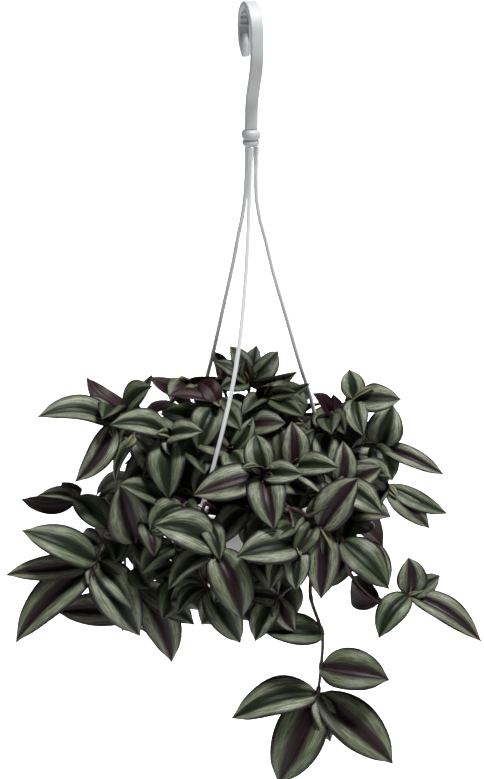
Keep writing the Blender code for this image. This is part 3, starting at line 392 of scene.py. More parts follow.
plant = {
    "seed": 11,
    "leafSteps": 20,  # stations along a leaf
    "leafCross": 12,  # cells across a leaf
    "leafThick": 0.045,  # cm
    "fold": 0.80,  # rise of the margins over half the width
    "fullness": 1.20,
    "bow": (0.04, 0.18),  # arch of the midrib over its length
    "ripple": 0.05,
    "waves": (7, 11),  # of the ripple along a margin
    "twist": 24,  # degrees, at most, from base to tip
    "sway": 0.07,  # sideways, over the length
    "hooked": 0.05,
    "droop": 0.05,
    "stemRadius": 0.19,
    "stemSides": 12,
    "stemSteps": 8,
    "sheathLength": 0.75,
    "budLength": (1.3, 2.3),
    "shadeLength": (2.6, 3.8),
    "bareStems": ("shoot_trailing", "shoot_right_low", "shoot_left_mid"),
    "insidePot": (8.2, 0.6),  # radius and height under which no leaf grows
    "soilWindow": (-4.5, 2.5, -4),  # left, right and front of the place where the soil shows
    "paintedShadeWithin": 8.5,  # leaves nearer to the middle are darker: painted shade
    # leaves with the purple side up, counted from the cutting's first
    "turnedOver": {"shoot_top_left": (1, 4, 5), "shoot_right_high": (4,)},
}


def worldPoint(points):  # cm from the rim's middle to metres in the row's frame
    return np.asarray(points, float) * 0.01 + np.array([0, 0, rimZ])


def leafOutline(share):  # half width over half the leaf's width: full belly, drawn-out tip
    body = np.sin(math.pi * np.clip(share, 0, 1) ** 0.80) ** 0.74
    return np.nan_to_num(body) * (1 - 0.38 * np.exp(-((share - 0.97) / 0.08) ** 2))


def facingOf(base, along, roll):  # the way the upper face looks
    facing = np.array([0, -0.62, 0.72]) if base[1] < 2.5 else np.array([0, 0.5, 0.8])
    up = facing - along * facing.dot(along)
    if np.linalg.norm(up) < 0.15:
        up = np.array([0, 0, 1.0]) - along * along[2]
    up = unit(up)
    turn = Matrix.Rotation(math.radians(roll), 3, Vector(along))
    return np.array(turn @ Vector(up))


class Growth:  # gathers the points, faces and surface values of one cutting
    def __init__(self):
        self.points, self.faces, self.kinds = [], [], []
        self.values = {"leafAlong": [], "leafAcross": [], "leafTone": [], "leafYoung": [], "leafAged": [],
                       "underSide": []}
        self.total = 0

    def add(self, points, faces, kind, **values):
        self.faces += [tuple(int(i) + self.total for i in face) for face in faces]
        self.kinds += [kind] * len(faces)
        self.points.append(worldPoint(points))
        for name, kept in self.values.items():
            kept.append(np.broadcast_to(values.get(name, 0.0), (len(points),)).astype(np.float32))
        self.total += len(points)

    def finish(self, name, materials):
        piece = meshPiece(name, np.concatenate(self.points), self.faces, materials[0])
        for material in materials[1:]:
            piece.data.materials.append(material)
        piece.data.polygons.foreach_set("material_index", self.kinds)
        for key, kept in self.values.items():
            layer = piece.data.attributes.new(key, "FLOAT", "POINT")
            layer.data.foreach_set("value", np.concatenate(kept))
        piece.data.update()
        return piece


def growLeaf(growth, dice, base, reach, width, roll, young=0.0, ageAndShade=0.0, fold=None, bow=None,
             over=False):
    reach = np.array(reach, float)
    base = np.array(base, float)
    length = np.linalg.norm(reach)
    along = reach / length
    up = facingOf(base, along, roll)
    across = np.cross(along, up)
    steps, cells = plant["leafSteps"], plant["leafCross"]
    share = np.linspace(0, 1, steps + 1) ** 0.9
    bow = dice.uniform(*plant["bow"]) if bow is None else bow
    sway = dice.uniform(-plant["sway"], plant["sway"])
    hooked = dice.uniform(-plant["hooked"], plant["hooked"])
    droop = dice.uniform(0.0, plant["droop"])
    line = base + np.outer(share, reach)
    line += np.outer(length * (bow * np.sin(math.pi * share) - droop * share ** 6), up)
    line += np.outer(length * (sway * np.sin(math.pi * share) + hooked * share ** 5), across)
    line[:, 2] -= 0.02 * length * share ** 3
    tangent = np.gradient(line, axis=0)
    tangent /= np.linalg.norm(tangent, axis=1)[:, None]
    twist = math.radians(dice.uniform(-plant["twist"], plant["twist"])) * share
    sides = np.outer(np.cos(twist), across) + np.outer(np.sin(twist), up)
    sides -= tangent * np.sum(sides * tangent, axis=1)[:, None]
    sides /= np.linalg.norm(sides, axis=1)[:, None]
    rises = np.cross(sides, tangent)
    clasp = 0.15 * np.exp(-(share / 0.035) ** 2)  # the base widens round the stem
    half = np.maximum(width / 2 * plant["fullness"] * leafOutline(share), 0.0) + clasp + 0.012
    fold = plant["fold"] * dice.uniform(0.6, 1.35) if fold is None else fold
    folds = fold * (1 - 0.35 * share)
    phase, waves = dice.uniform(0, 6.28), dice.uniform(*plant["waves"])
    spread = np.linspace(-1, 1, cells + 1)
    size = abs(spread)[None, :]
    rise = folds[:, None] * (size - 0.64 * size ** 2) - 0.10 * np.exp(-(size / 0.13) ** 2)
    wave = waves * share[:, None] + phase + 2.2 * (spread[None, :] > 0)  # the two margins out of step
    ripple = plant["ripple"] * np.sin(wave) * size ** 3
    tone = dice.random()
    reachOut = half[:, None, None] * spread[None, :, None] * np.cos(np.arctan(0.4 * folds))[:, None, None]
    reachUp = (half[:, None] * (rise + ripple))[:, :, None]
    middle = line[:, None, :] + sides[:, None, :] * reachOut + rises[:, None, :] * reachUp
    thick = plant["leafThick"] * (1 - 0.75 * size ** 4) * (1 - 0.4 * share[:, None])
    top = middle + rises[:, None, :] * (thick / 2)[:, :, None]
    low = middle - rises[:, None, :] * (thick / 2)[:, :, None]
    points = np.concatenate([top.reshape(-1, 3), low.reshape(-1, 3)])
    row, sheet = cells + 1, (steps + 1) * (cells + 1)
    faces = []
    for i in range(steps):
        for j in range(cells):
            a, b = i * row + j, (i + 1) * row + j
            faces.append((a, a + 1, b + 1, b))
            faces.append((sheet + a, sheet + b, sheet + b + 1, sheet + a + 1))
        a, b = i * row, (i + 1) * row
        faces.append((a, b, sheet + b, sheet + a))
        a, b = a + cells, b + cells
        faces.append((a, sheet + a, sheet + b, b))
    for j in range(cells):
        faces.append((j, sheet + j, sheet + j + 1, j + 1))
        a = steps * row + j
        faces.append((a, a + 1, sheet + a + 1, sheet + a))
    growth.add(points, faces, 0, leafTone=tone, leafYoung=young, leafAged=ageAndShade,
               leafAlong=np.tile(np.repeat(share, row), 2), leafAcross=np.tile(spread, 2 * (steps + 1)),
               underSide=np.repeat([1.0, 0.0] if over else [0.0, 1.0], sheet))


def growTube(growth, path, radii, sides, kind, tone=0.0, rib=None):
    side = None
    rings = []
    for i, centre in enumerate(path):
        along = unit(path[min(i + 1, len(path) - 1)] - path[max(i - 1, 0)])
        side = np.array(Vector(along).orthogonal()) if side is None else side
        side = unit(side - along * side.dot(along))
        other = np.cross(along, side)
        turn = np.linspace(0, 2 * math.pi, sides, endpoint=False)
        uneven = 0.05 * np.sin(3 * turn) if rib is None else rib * np.sin(5 * turn)
        radius = radii[i] * (1 + uneven)
        ring = np.outer(radius * np.cos(turn), side) + np.outer(radius * np.sin(turn), other)
        rings.append(centre + ring)
    points = np.concatenate(rings)
    share = np.repeat(np.linspace(0, 1, len(path)), sides)
    turns = np.tile(np.linspace(-1, 1, sides, endpoint=False), len(path))
    growth.add(points, ringFaces(len(path), sides), kind,
               leafAlong=share, leafAcross=turns, leafTone=tone)


def growSheath(growth, dice, spot, along, reach):  # the short sleeve round the stem
    along = unit(along)
    length = plant["sheathLength"] * dice.uniform(0.8, 1.15)
    start = spot - along * length * 0.8
    path = np.array([start + along * length * t for t in (0, 0.15, 0.4, 0.7, 0.92, 1.0)])
    lean = unit(np.array(reach, float)) * 0.05
    path[3:] += np.outer([0.3, 0.8, 1.0], lean)
    radius = plant["stemRadius"]
    growTube(growth, path, [radius * k for k in (0.96, 1.10, 1.14, 1.20, 1.30, 1.22)], 14, 1,
             tone=dice.random(), rib=0.03)


def aimedAt(tips, spot, reach):
    # the solid part turned or shortened some leaves: this finds the reach it took
    reach = Vector(reach)
    base = Vector(spot) + reach.normalized() * 0.06
    for size in (1.0, 0.88, 0.76, 0.62):
        for swing in (0, 8, -8, 16, -16, 26, -26, 38, -38):
            for dip in (0, 10, -10, 20, -20, 32, -32):
                turned = Matrix.Rotation(math.radians(swing), 3, "Z") @ reach
                side = turned.cross(Vector((0, 0, 1)))
                if side.length > 0.01:
                    turned = Matrix.Rotation(math.radians(dip), 3, side.normalized()) @ turned
                if tips.find(worldPoint(base + turned * size))[2] < 0.00008:
                    return turned * size, size
    return reach, 1.0


def growShadeLeaves(growth, dice, path, steps):  # small leaves along a stem, in the darkest green: painted shade as well as age
    turn = dice.choice((-1, 1))
    potRadius, potTop = plant["insidePot"]
    left, right, front = plant["soilWindow"]
    for index in range(steps, len(path) - steps // 2, steps // 2):
        spot = path[index]
        if math.hypot(spot[0], spot[1]) < potRadius and spot[2] < potTop:
            continue
        if left < spot[0] < right and spot[1] < front:
            continue
        along = unit(path[index + 1] - path[index - 1])
        outward = unit(np.array([spot[0], spot[1], 0.0]) + 1e-3)
        side = unit(np.cross(along, outward) + 1e-3) * turn
        turn = -turn
        aim = unit(side + outward * dice.uniform(0.0, 0.7) + np.array([0, 0, dice.uniform(-0.7, 0.2)]))
        size = dice.uniform(*plant["shadeLength"])
        growSheath(growth, dice, spot, along, aim)
        width = size * dice.uniform(0.48, 0.6)
        growLeaf(growth, dice, spot, aim * size, width, dice.uniform(-25, 25), ageAndShade=1.0)


def growCutting(name, stems, dice, materials):
    growth = Growth()
    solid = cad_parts[name].data.vertices
    tips = KDTree(len(solid))
    for vertex in solid:
        tips.insert(vertex.co, vertex.index)
    tips.balance()
    turnedOver = plant["turnedOver"].get(name, ())
    grown = 0
    for order, (nodes, leaves) in enumerate(stems):
        steps = plant["stemSteps"]
        path = smoothPath(nodes, steps)
        thick = plant["stemRadius"] * (1 if order == 0 else 0.82)
        radii = []
        for i in range(len(path)):
            near = abs(i / steps - round(i / steps)) * steps
            knot = 0.22 * math.exp(-(near / 0.8) ** 2) if 0 < i < len(path) - 1 else 0
            radii.append(thick * (1 - 0.35 * i / (len(path) - 1)) * (1 + knot))
        growTube(growth, path, radii, plant["stemSides"], 1, tone=dice.random())
        for node, right, back, up, width, roll in leaves:
            index = min(node * steps, len(path) - 1)
            along = path[index] - path[max(index - 2, 0)]
            spot = path[index]
            reach, size = aimedAt(tips, spot, (right, back, up))
            growSheath(growth, dice, spot, along, reach)
            # leaves below a stem's last node and on the skirts are darker, partly for age and partly as
            # painted shade; nearness to the middle adds painted shade
            ageAndShade = 0.0 if node == len(nodes) - 1 and "skirt" not in name else 0.7
            ageAndShade += 1.2 * max(0.0, 1 - math.hypot(spot[0], spot[1]) / plant["paintedShadeWithin"])
            ageAndShade = min(1, ageAndShade * dice.uniform(0.6, 1.2))
            growLeaf(growth, dice, spot, reach, width * size, roll, ageAndShade=ageAndShade, over=grown in turnedOver)
            grown += 1
        if name not in plant["bareStems"]:
            growShadeLeaves(growth, dice, path, steps)
        along = unit(path[-1] - path[-3])
        for turn in (0, 1):  # the rolled young leaves at the growing tip
            lean = [dice.uniform(-0.7, 0.7), dice.uniform(-0.9, 0.1), dice.uniform(-0.2, 0.8)]
            aim = unit(along + np.array(lean))
            size = dice.uniform(*plant["budLength"]) * (1 - 0.3 * turn)
            growLeaf(growth, dice, path[-1], aim * size, size * 0.34, dice.uniform(-40, 40),
                     young=1.0, fold=1.5, bow=0.06)
    piece = growth.finish(name.replace("shoot", "leafy"), materials)
    return settle(piece, "foliage", name)


leafColours = {
    "heart": ((0.006, 0.011, 0.003, 1), (0.012, 0.004, 0.006, 1)),  # dark middle, green or purple
    "heartStreak": ((0.030, 0.052, 0.014, 1), (0.075, 0.058, 0.056, 1)),
    "silver": ((0.020, 0.027, 0.011, 1), (0.300, 0.325, 0.228, 1)),  # between and on its streaks
    "sparkle": (0.40, 0.43, 0.34, 1),
    "plain": (0.045, 0.080, 0.022, 1),  # of the leaves with little silver
    # dull green of old leaves, also used as painted shade on inner leaves
    "agedAndShadedGreen": (0.032, 0.048, 0.015, 1),
    "margin": (0.010, 0.006, 0.008, 1),
    "young": (0.17, 0.16, 0.085, 1),
    "underside": ((0.006, 0.001, 0.002, 1), (0.024, 0.005, 0.009, 1)),
    "underRib": (0.036, 0.012, 0.017, 1),
    "stem": ((0.014, 0.005, 0.006, 1), (0.055, 0.024, 0.023, 1)),
    "stemBlotch": (0.03, 0.038, 0.014, 1),
}


def leafFinish():
    material, start, place, feed = newFinish("zebraLeaf", {"Specular IOR Level": 0.28})
    colours = leafColours
    along, side, tone = start.mark("leafAlong"), start.mark("leafAcross"), start.mark("leafTone")
    young, ageAndShade, under = start.mark("leafYoung"), start.mark("leafAged"), start.mark("underSide")
    flow = (along * 2.0 + tone * 31.0).joined(side * 2.6, tone * 17.0)
    across = abs(side) + (flow.grain(2.2, detail=2.0) - 0.5) * 0.16
    # streaks run along the leaf: broad ones, with fine ones between
    streak = (along * 1.6 + tone * 9.0).joined(side * 24.0, tone * 5.0).grain(1.4, detail=4.0, rough=0.65)
    fine = (along * 5.0).joined(side * 70.0, tone * 3.0).grain(1.0, detail=2.0)
    veins = (side * 42.0).calc("SINE", side * 42.0)
    cells = place.grain(1500.0, detail=2.0, rough=0.6)
    # the dark middle
    purple = tone.ease(0.50, 0.85)
    nearRib = 1 - abs(side).ease(0.0, 0.10, 0.7, 0.0)
    ash = (streak * 0.6 + fine * 0.4).ease(0.50, 0.72) * 0.55 * nearRib
    heart = ash.blend(purple.blend(*colours["heart"]), purple.blend(*colours["heartStreak"]))
    # the silver band on each side of it
    plain = tone.calc("FRACT", tone * 7.31).ease(0.45, 1.0) * 0.5
    silver = (streak * 0.55 + fine * 0.45).ease(0.36, 0.64).blend(*colours["silver"])
    silver = (cells.ease(0.45, 0.70) * 0.40).blend(silver, colours["sparkle"])
    silver = plain.blend(silver, colours["plain"])
    # the silver dulls to old green with age and with painted shade
    silver = (ageAndShade * 0.76).blend(silver, colours["agedAndShadedGreen"])
    patch = flow.moved((3.1, 7.7, 1.3)).grain(3.4, detail=3.0).ease(0.30, 0.62, 0.45, 1.0)
    band = across.ease(0.22, 0.52) * (1 - across.ease(0.72, 0.95)) * patch
    band = band * (along.ease(0.0, 0.12) * 0.7 + 0.3) * (1 - along.ease(0.88, 1.0) * 0.6)
    upper = band.blend(across.ease(0.74, 0.92).blend(heart, colours["margin"]), silver)
    upper = (young * 0.55).blend(upper, colours["young"])
    wine = streak.ease(0.3, 0.75).blend(*colours["underside"])
    wine = abs(side).ease(0.0, 0.12, 0.5, 0.0).blend(wine, colours["underRib"])
    feed(Base_Color=under.ease(0.4, 0.6).blend(upper, wine),
         Roughness=fine * 0.16 + streak * 0.12 + 0.30 - band * 0.06,
         Normal=bumpOf(start, streak * 0.7 + fine * 0.35 + veins * 0.10 + cells * 0.12, 0.45, 0.0009))
    return material


def stemFinish():
    material, start, place, feed = newFinish("plumStem", {"Specular IOR Level": 0.4})
    side, along, tone = start.mark("leafAcross"), start.mark("leafAlong"), start.mark("leafTone")
    streak = (along * 6.0).joined(side * 16.0, tone * 9.0).grain(1.2, detail=4.0)
    blotch = place.grain(90.0, detail=3.0)
    colour = streak.ease(0.35, 0.7).blend(*leafColours["stem"])
    colour = (blotch.ease(0.55, 0.8) * 0.5).blend(colour, leafColours["stemBlotch"])
    feed(Base_Color=colour, Roughness=streak * 0.25 + 0.30,
         Normal=bumpOf(start, streak + blotch * 0.4, 0.4, 0.0006))
    return material


dice = random.Random(plant["seed"])
leafGreen, stemPlum = leafFinish(), stemFinish()
for name, stems in cuttings.items():
    growCutting(name, stems, dice, [leafGreen, stemPlum])
print("cuttings grown:", len(cuttings))


# White moulded plastic, shared by the pot and the hanger
def plasticFinish(name, tint, dirt):
    material, start, place, feed = newFinish(name, {"Specular IOR Level": 0.5})
    cloud = place.grain(38.0, detail=4.0)
    scuff = place.stretched((1, 1, 0.12)).grain(900.0, detail=3.0, rough=0.7)
    speck = place.grain(420.0, detail=2.0)
    colour = cloud.ease(0.3, 0.75).blend(tint, tuple(0.93 * c for c in tint[:3]) + (1,))
    colour = (speck.ease(0.66, 0.80) * dirt).blend(colour, (0.30, 0.26, 0.20, 1))
    feed(Base_Color=colour, Roughness=cloud * 0.18 + scuff * 0.14 + 0.34,
         Normal=bumpOf(start, scuff * 0.5 + cloud, 0.18, 0.0004))
    return material


plastic = {  # tint, and how much dirt has settled on it
    # the hanger's hook and collar use the strands' white plastic tinted darker: painted shade
    "hanger": ((0.43, 0.44, 0.45, 1), 0.08),
    "strand": ((0.60, 0.61, 0.62, 1), 0.08),
    "pot": ((0.62, 0.62, 0.61, 1), 0.35),
}
hangerShadedWhite = plasticFinish("hangerShadedPlastic", *plastic["hanger"])
strandWhite = plasticFinish("strandPlastic", *plastic["strand"])
potWhite = plasticFinish("potPlastic", *plastic["pot"])

hook = {
    "width": 0.0100, "thick": 0.0056, "corner": 0.0009,
    "channel": 0.0038,  # depth of the channel in the inner face
    "shallow": 0.0009,  # its depth near the ends
    "wall": 0.0014,  # left on each side of it
    "lip": 0.0004,  # rounding of its edges
    "ribHeight": 0.75,  # share of the channel that a rib fills
    "ribs": (0.12, 0.17, 0.22, 0.27, 0.32, 0.38, 0.45, 0.52, 0.60, 0.68, 0.76, 0.84),
    "loop": 0.0205,  # radius of the bend
    "tipDrop": 0.024,
    "turn": 105,  # degrees, of the hook's plane from the front
    "shank": [(-0.0205, -0.031), (-0.0180, -0.045), (-0.0105, -0.060), (-0.0035, -0.073),
              (-0.0005, -0.086), (0, -0.0985)],
    "collarX": 0.0030,
}


def hookLine():  # along and up, from the tip to the knuckle
    radius = hook["loop"]
    centre = -radius + hook["thick"] / 2
    tip = centre - hook["tipDrop"]
    line = [(radius * 0.74, tip, 0), (radius * 0.93, (centre + tip) / 2, 0)]
    for angle in np.linspace(0, math.pi, 11):
        line.append((radius * math.cos(angle), centre + radius * math.sin(angle), 0))
    line += [(along, up, 0) for along, up in hook["shank"]]
    return smoothPath(line, 10)


def channelOutline(halfWide, halfThick, corner, channel):  # section as (across, inward)
    lip = hook["lip"]
    mouth = halfWide - hook["wall"]
    floor = halfThick - channel
    half = []
    for i in range(4):
        angle = math.radians(-90 + 30 * i)
        half.append((halfWide + corner * (math.cos(angle) - 1),
                     -halfThick + corner * (math.sin(angle) + 1)))
    half += [(halfWide, halfThick - lip), (halfWide - 0.3 * lip, halfThick - 0.3 * lip)]
    half += [(halfWide - lip, halfThick), (mouth + lip / 2, halfThick), (mouth, halfThick - lip / 2)]
    half += [(mouth - lip / 2, floor + lip / 2), (mouth - lip, floor)]
    return half + [(-a, b) for a, b in reversed(half)]


def makeHook():
    line = hookLine()
    turn = math.radians(hook["turn"])
    forward = np.array([math.cos(turn), math.sin(turn), 0])
    across = np.array([-math.sin(turn), math.cos(turn), 0])
    rings = []
    last = len(line) - 1
    for i, (along, up, _) in enumerate(line):
        step = unit(line[min(i + 1, last)] - line[max(i - 1, 0)])
        tangent = forward * step[0] + np.array([0, 0, step[1]])
        normal = np.cross(tangent, across)
        place = forward * along + np.array([hook["collarX"] * min(1, max(0, -up / 0.09)), 0, up])
        share = i / last
        taper = min(1, 0.55 + 0.45 * math.sin(min(share / 0.07, 1) * math.pi / 2))
        ribs = sum(math.exp(-((share - at) / 0.006) ** 2) for at in hook["ribs"])
        hollow = min(1, max(0, (share - 0.05) / 0.04)) * min(1, max(0, (0.93 - share) / 0.03))
        deeper = (hook["channel"] - hook["shallow"]) * hollow * (1 - min(1, ribs) * hook["ribHeight"])
        sizes = [hook["width"] / 2, hook["thick"] / 2, hook["corner"], hook["shallow"] + deeper]
        outline = channelOutline(*[size * taper for size in sizes])
        rings.append(np.array([place + across * a + normal * b for a, b in outline]))
    faces = ringFaces(len(rings), len(rings[0]))
    piece = meshPiece("hangerHook", np.concatenate(rings), faces, hangerShadedWhite, smooth=False)
    return settle(outward(softened(piece)), "white_plastic", "hanger_hook")


def softened(piece, angle=40):  # smooth shading except over sharp folds
    work = bmesh.new()
    work.from_mesh(piece.data)
    for face in work.faces:
        face.smooth = True
    for edge in work.edges:
        if len(edge.link_faces) == 2 and edge.calc_face_angle(0) > math.radians(angle):
            edge.smooth = False
    work.to_mesh(piece.data)
    work.free()
    return piece


def turnedPiece(name, outline, sides, centre, material, ripple):
    points, rows, faces = [], [], []
    for radius, height in outline:
        if radius == 0:
            rows.append([len(points)] * sides)
            points.append(Vector(centre) + Vector((0, 0, height)))
            continue
        rows.append(list(range(len(points), len(points) + sides)))
        for j in range(sides):
            angle = 2 * math.pi * j / sides
            size = radius * (1 + ripple(angle, height))
            spoke = Vector((size * math.cos(angle), size * math.sin(angle), height))
            points.append(Vector(centre) + spoke)
    for low, high in zip(rows, rows[1:]):
        for j in range(sides):
            k = (j + 1) % sides
            corners = list(dict.fromkeys((low[j], low[k], high[k], high[j])))
            if len(corners) > 2:
                faces.append(tuple(corners))
    return outward(softened(meshPiece(name, points, faces, material)))


def roundProfile(points, steps):  # a smooth outline through (radius, height) points
    path = smoothPath([(r, h, 0) for r, h in points], steps)
    return [(max(0.0, r), h) for r, h, _ in path]


collar = {
    "sides": 72,
    "waist": -0.0078,  # height under the top
    "flat": (0.05, 0.07),  # how much it is flattened above and below the waist
}


def collarRipple(angle, height):
    flat = collar["flat"][1] if height < collar["waist"] else collar["flat"][0]
    return flat * (math.cos(2 * angle + 0.6) - 1)


def makeCollar():
    low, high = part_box("hanger_collar")
    height = high.z - low.z
    centre = ((low.x + high.x) / 2, (low.y + high.y) / 2, high.z)
    knuckle = [(0, 0), (0.0050, 0), (0.0066, -0.0005), (0.0076, -0.0018), (0.0078, -0.0040),
               (0.0077, -0.0060), (0.0070, -0.0073), (0.0062, -0.0080)]
    skirt = [(0.0066, -0.0089), (0.0072, -0.0099), (0.0072, -0.0115), (0.0066, -height + 0.0012),
             (0.0052, -height + 0.0002), (0, -height)]
    piece = turnedPiece("hangerCollar", knuckle + skirt, collar["sides"], centre, hangerShadedWhite,
                        collarRipple)
    return settle(piece, "white_plastic", "hanger_collar")


strand = {
    "width": 0.0034, "thick": 0.0024, "footRadius": 0.0690, "corner": 0.0007,
    "directions": {"front": (-0.446, -0.895), "back": (-0.552, 0.834), "right": (0.998, 0.061)},
    "twist": {"front": 28, "back": 0, "right": 0},  # degrees, at the collar
    "spin": {"front": 0, "back": 0, "right": 60},  # of the bar about its own line
    # share of the drop, then mm from the middle
    "bow": [(0, 4.5), (0.12, 5.5), (0.2, 9), (0.27, 15), (0.36, 22), (0.5, 35), (0.63, 47), (0.75, 59),
            (0.87, 66)],
    "topZ": -0.1136,
    "endRise": 0.0045,  # above the rim
    # inset from footRadius, bottom and top over the rim, depth, width and rounding
    "blocks": [(-0.0002, 0.0003, 0.0062, 0.0084, 0.0090, 0.0012),
               (0.0024, -0.0055, 0.0030, 0.0026, 0.0070, 0.0007)],
}


def barRing(centre, wide, deep, halfWide, halfDeep, corner):
    ring = []
    for sx, sy, first in ((1, 1, 0), (-1, 1, 90), (-1, -1, 180), (1, -1, 270)):
        for i in range(3):
            angle = math.radians(first + 45 * i)
            ring.append(centre + wide * (sx * (halfWide - corner) + corner * math.cos(angle))
                        + deep * (sy * (halfDeep - corner) + corner * math.sin(angle)))
    return np.array(ring)


def makeStrand(side):
    across = strand["directions"][side]
    out = unit(np.array([across[0], across[1], 0.0]))
    wide = np.array([-out[1], out[0], 0])
    drop = rimZ + strand["endRise"] - strand["topZ"]
    points = []
    for share, radius in [(s, r * 0.001) for s, r in strand["bow"]] + [(1.0, strand["footRadius"])]:
        turn = Matrix.Rotation(math.radians(strand["twist"][side] * (1 - share * share)), 3, "Z")
        middle = np.array([hook["collarX"] * (1 - share), 0, strand["topZ"] + drop * share])
        points.append(middle + np.array(turn @ Vector(out)) * radius)
    path = smoothPath(points, 9)
    rings = []
    last = len(path) - 1
    for i, centre in enumerate(path):
        along = unit(path[min(i + 1, last)] - path[max(i - 1, 0)])
        deep = unit(np.cross(wide, along))
        spin = math.radians(strand["spin"][side])
        flat = wide * math.cos(spin) + deep * math.sin(spin)
        thin = deep * math.cos(spin) - wide * math.sin(spin)
        swell = (1 + 0.4 * max(0, 1 - i / 5) + 0.5 * max(0, (i - last + 4) / 4)) / 2
        rings.append(barRing(centre, flat, thin, strand["width"] * swell, strand["thick"] * swell,
                             strand["corner"]))
    points = list(np.concatenate(rings))
    faces = ringFaces(len(rings), 12)

    for inset, low, high, depth, width, corner in strand["blocks"]:  # first the foot, then the tab
        start = len(points)
        levels = [(low, 0.82), (low + corner * 0.4, 0.95), (low + corner, 1), (high - corner, 1),
                  (high - corner * 0.4, 0.95), (high, 0.80)]
        for up, size in levels:
            centre = out * (strand["footRadius"] - inset) + np.array([0, 0, rimZ + up])
            points.extend(barRing(centre, wide, out, width / 2 * size, depth / 2 * size, corner))
        faces.extend(ringFaces(len(levels), 12, offset=start))
    piece = outward(softened(meshPiece("hangerStrand_" + side, points, faces, strandWhite)))
    return settle(piece, "white_plastic", "hanger_strand_" + side)


makeHook()
makeCollar()
for side in strand["directions"]:
    makeStrand(side)
print("hanger made")

pot = {
    "sides": 120, "wall": 0.0018, "overhang": 0.0025, "base": 0.038,
    "band": 0.0130,  # height of the rim's band
    "outOfRound": 0.0016,  # at the base
}


def potRipple(angle, height):
    return pot["outOfRound"] * math.cos(3 * angle) * (-height / (potHigh.z - potLow.z))


def makePot():
    height = potHigh.z - potLow.z
    shoulder = rimRadius - pot["overhang"]
    base, wall, band = pot["base"], pot["wall"], pot["band"]
    bowl = roundProfile([(base + 0.0002, -height + 0.0022), (base + 0.0150, -height + 0.024),
                         (shoulder - 0.0105, -height + 0.046), (shoulder - 0.0015, -band - 0.0006)], 8)
    inside = [(r - wall, h + 0.0006) for r, h in reversed(bowl)]
    outline = [(0, -height + 0.0010), (base - 0.0075, -height + 0.0010), (base - 0.0065, -height),
               (base - 0.0020, -height), (base - 0.0006, -height + 0.0006)] + bowl
    # the band as (in from the rim's radius, up): a bead at its foot, another under its rounded lip
    rimBand = [(0.0012, -band), (0.0003, -band + 0.0004), (0, -band + 0.0012), (0, -band + 0.0040),
               (0.0004, -band + 0.0043), (0.0004, -0.0026), (0, -0.0022), (0, -0.0008), (0.0003, -0.0002),
               (0.0009, 0), (0.0042, 0), (0.0050, -0.0003), (0.0053, -0.0010)]
    outline += [(rimRadius - inset, up) for inset, up in rimBand]
    outline += [(shoulder - 0.0030, -band + 0.0006)] + inside + [(0, -height + 0.0004 + wall)]
    piece = turnedPiece("potShell", outline, pot["sides"], (0, 0, rimZ), potWhite, potRipple)
    return settle(piece, "white_plastic", "pot")


soil = {
    "rings": 26, "sides": 96, "inset": 0.0006,
    "level": 0.0052,  # of the edge, under the solid part's top
    "crown": 0.0035,
    "skirt": 0.012,
    "seed": 5, "crumbs": 420, "crumbSize": (0.0006, 0.0019),
    "dark": (0.006, 0.005, 0.004, 1), "light": (0.035, 0.025, 0.018, 1), "fleck": (0.09, 0.065, 0.04, 1),
}


def peatFinish():
    material, start, place, feed = newFinish("wetPeat", {"Specular IOR Level": 0.25})
    crumb = place.grain(420.0, detail=5.0, rough=0.7)
    fleck = place.grain(1300.0, detail=2.0)
    colour = crumb.ease(0.35, 0.7).blend(soil["dark"], soil["light"])
    colour = (fleck.ease(0.68, 0.78) * 0.5).blend(colour, soil["fleck"])
    feed(Base_Color=colour, Roughness=crumb * 0.3 + 0.62,
         Normal=bumpOf(start, crumb + fleck * 0.5, 0.8, 0.0015))
    return material


def addCrumb(points, faces, crumbs, radius, level):  # eight faces, uneven corners
    spread, angle = math.sqrt(crumbs.random()) * radius * 0.94, crumbs.uniform(0, 6.283)
    size = crumbs.uniform(*soil["crumbSize"])
    lift = (soil["crown"] + 0.0001) * (1 - (spread / radius) ** 2)
    centre = Vector((spread * math.cos(angle), spread * math.sin(angle), level + lift))
    start = len(points)
    turn = Matrix.Rotation(crumbs.uniform(0, 6), 3, Vector((crumbs.random(), crumbs.random(), 1)))
    for corner in ((1, 0, 0), (-1, 0, 0), (0, 1, 0), (0, -1, 0), (0, 0, 1), (0, 0, -1)):
        points.append(centre + turn @ Vector(corner) * size * crumbs.uniform(0.6, 1.3))
    for x in (0, 1):
        for y in (2, 3):
            for z in (4, 5):
                corners = (start + x, start + y, start + z)
                faces.append(corners if (x + y + z) % 2 == 0 else corners[::-1])


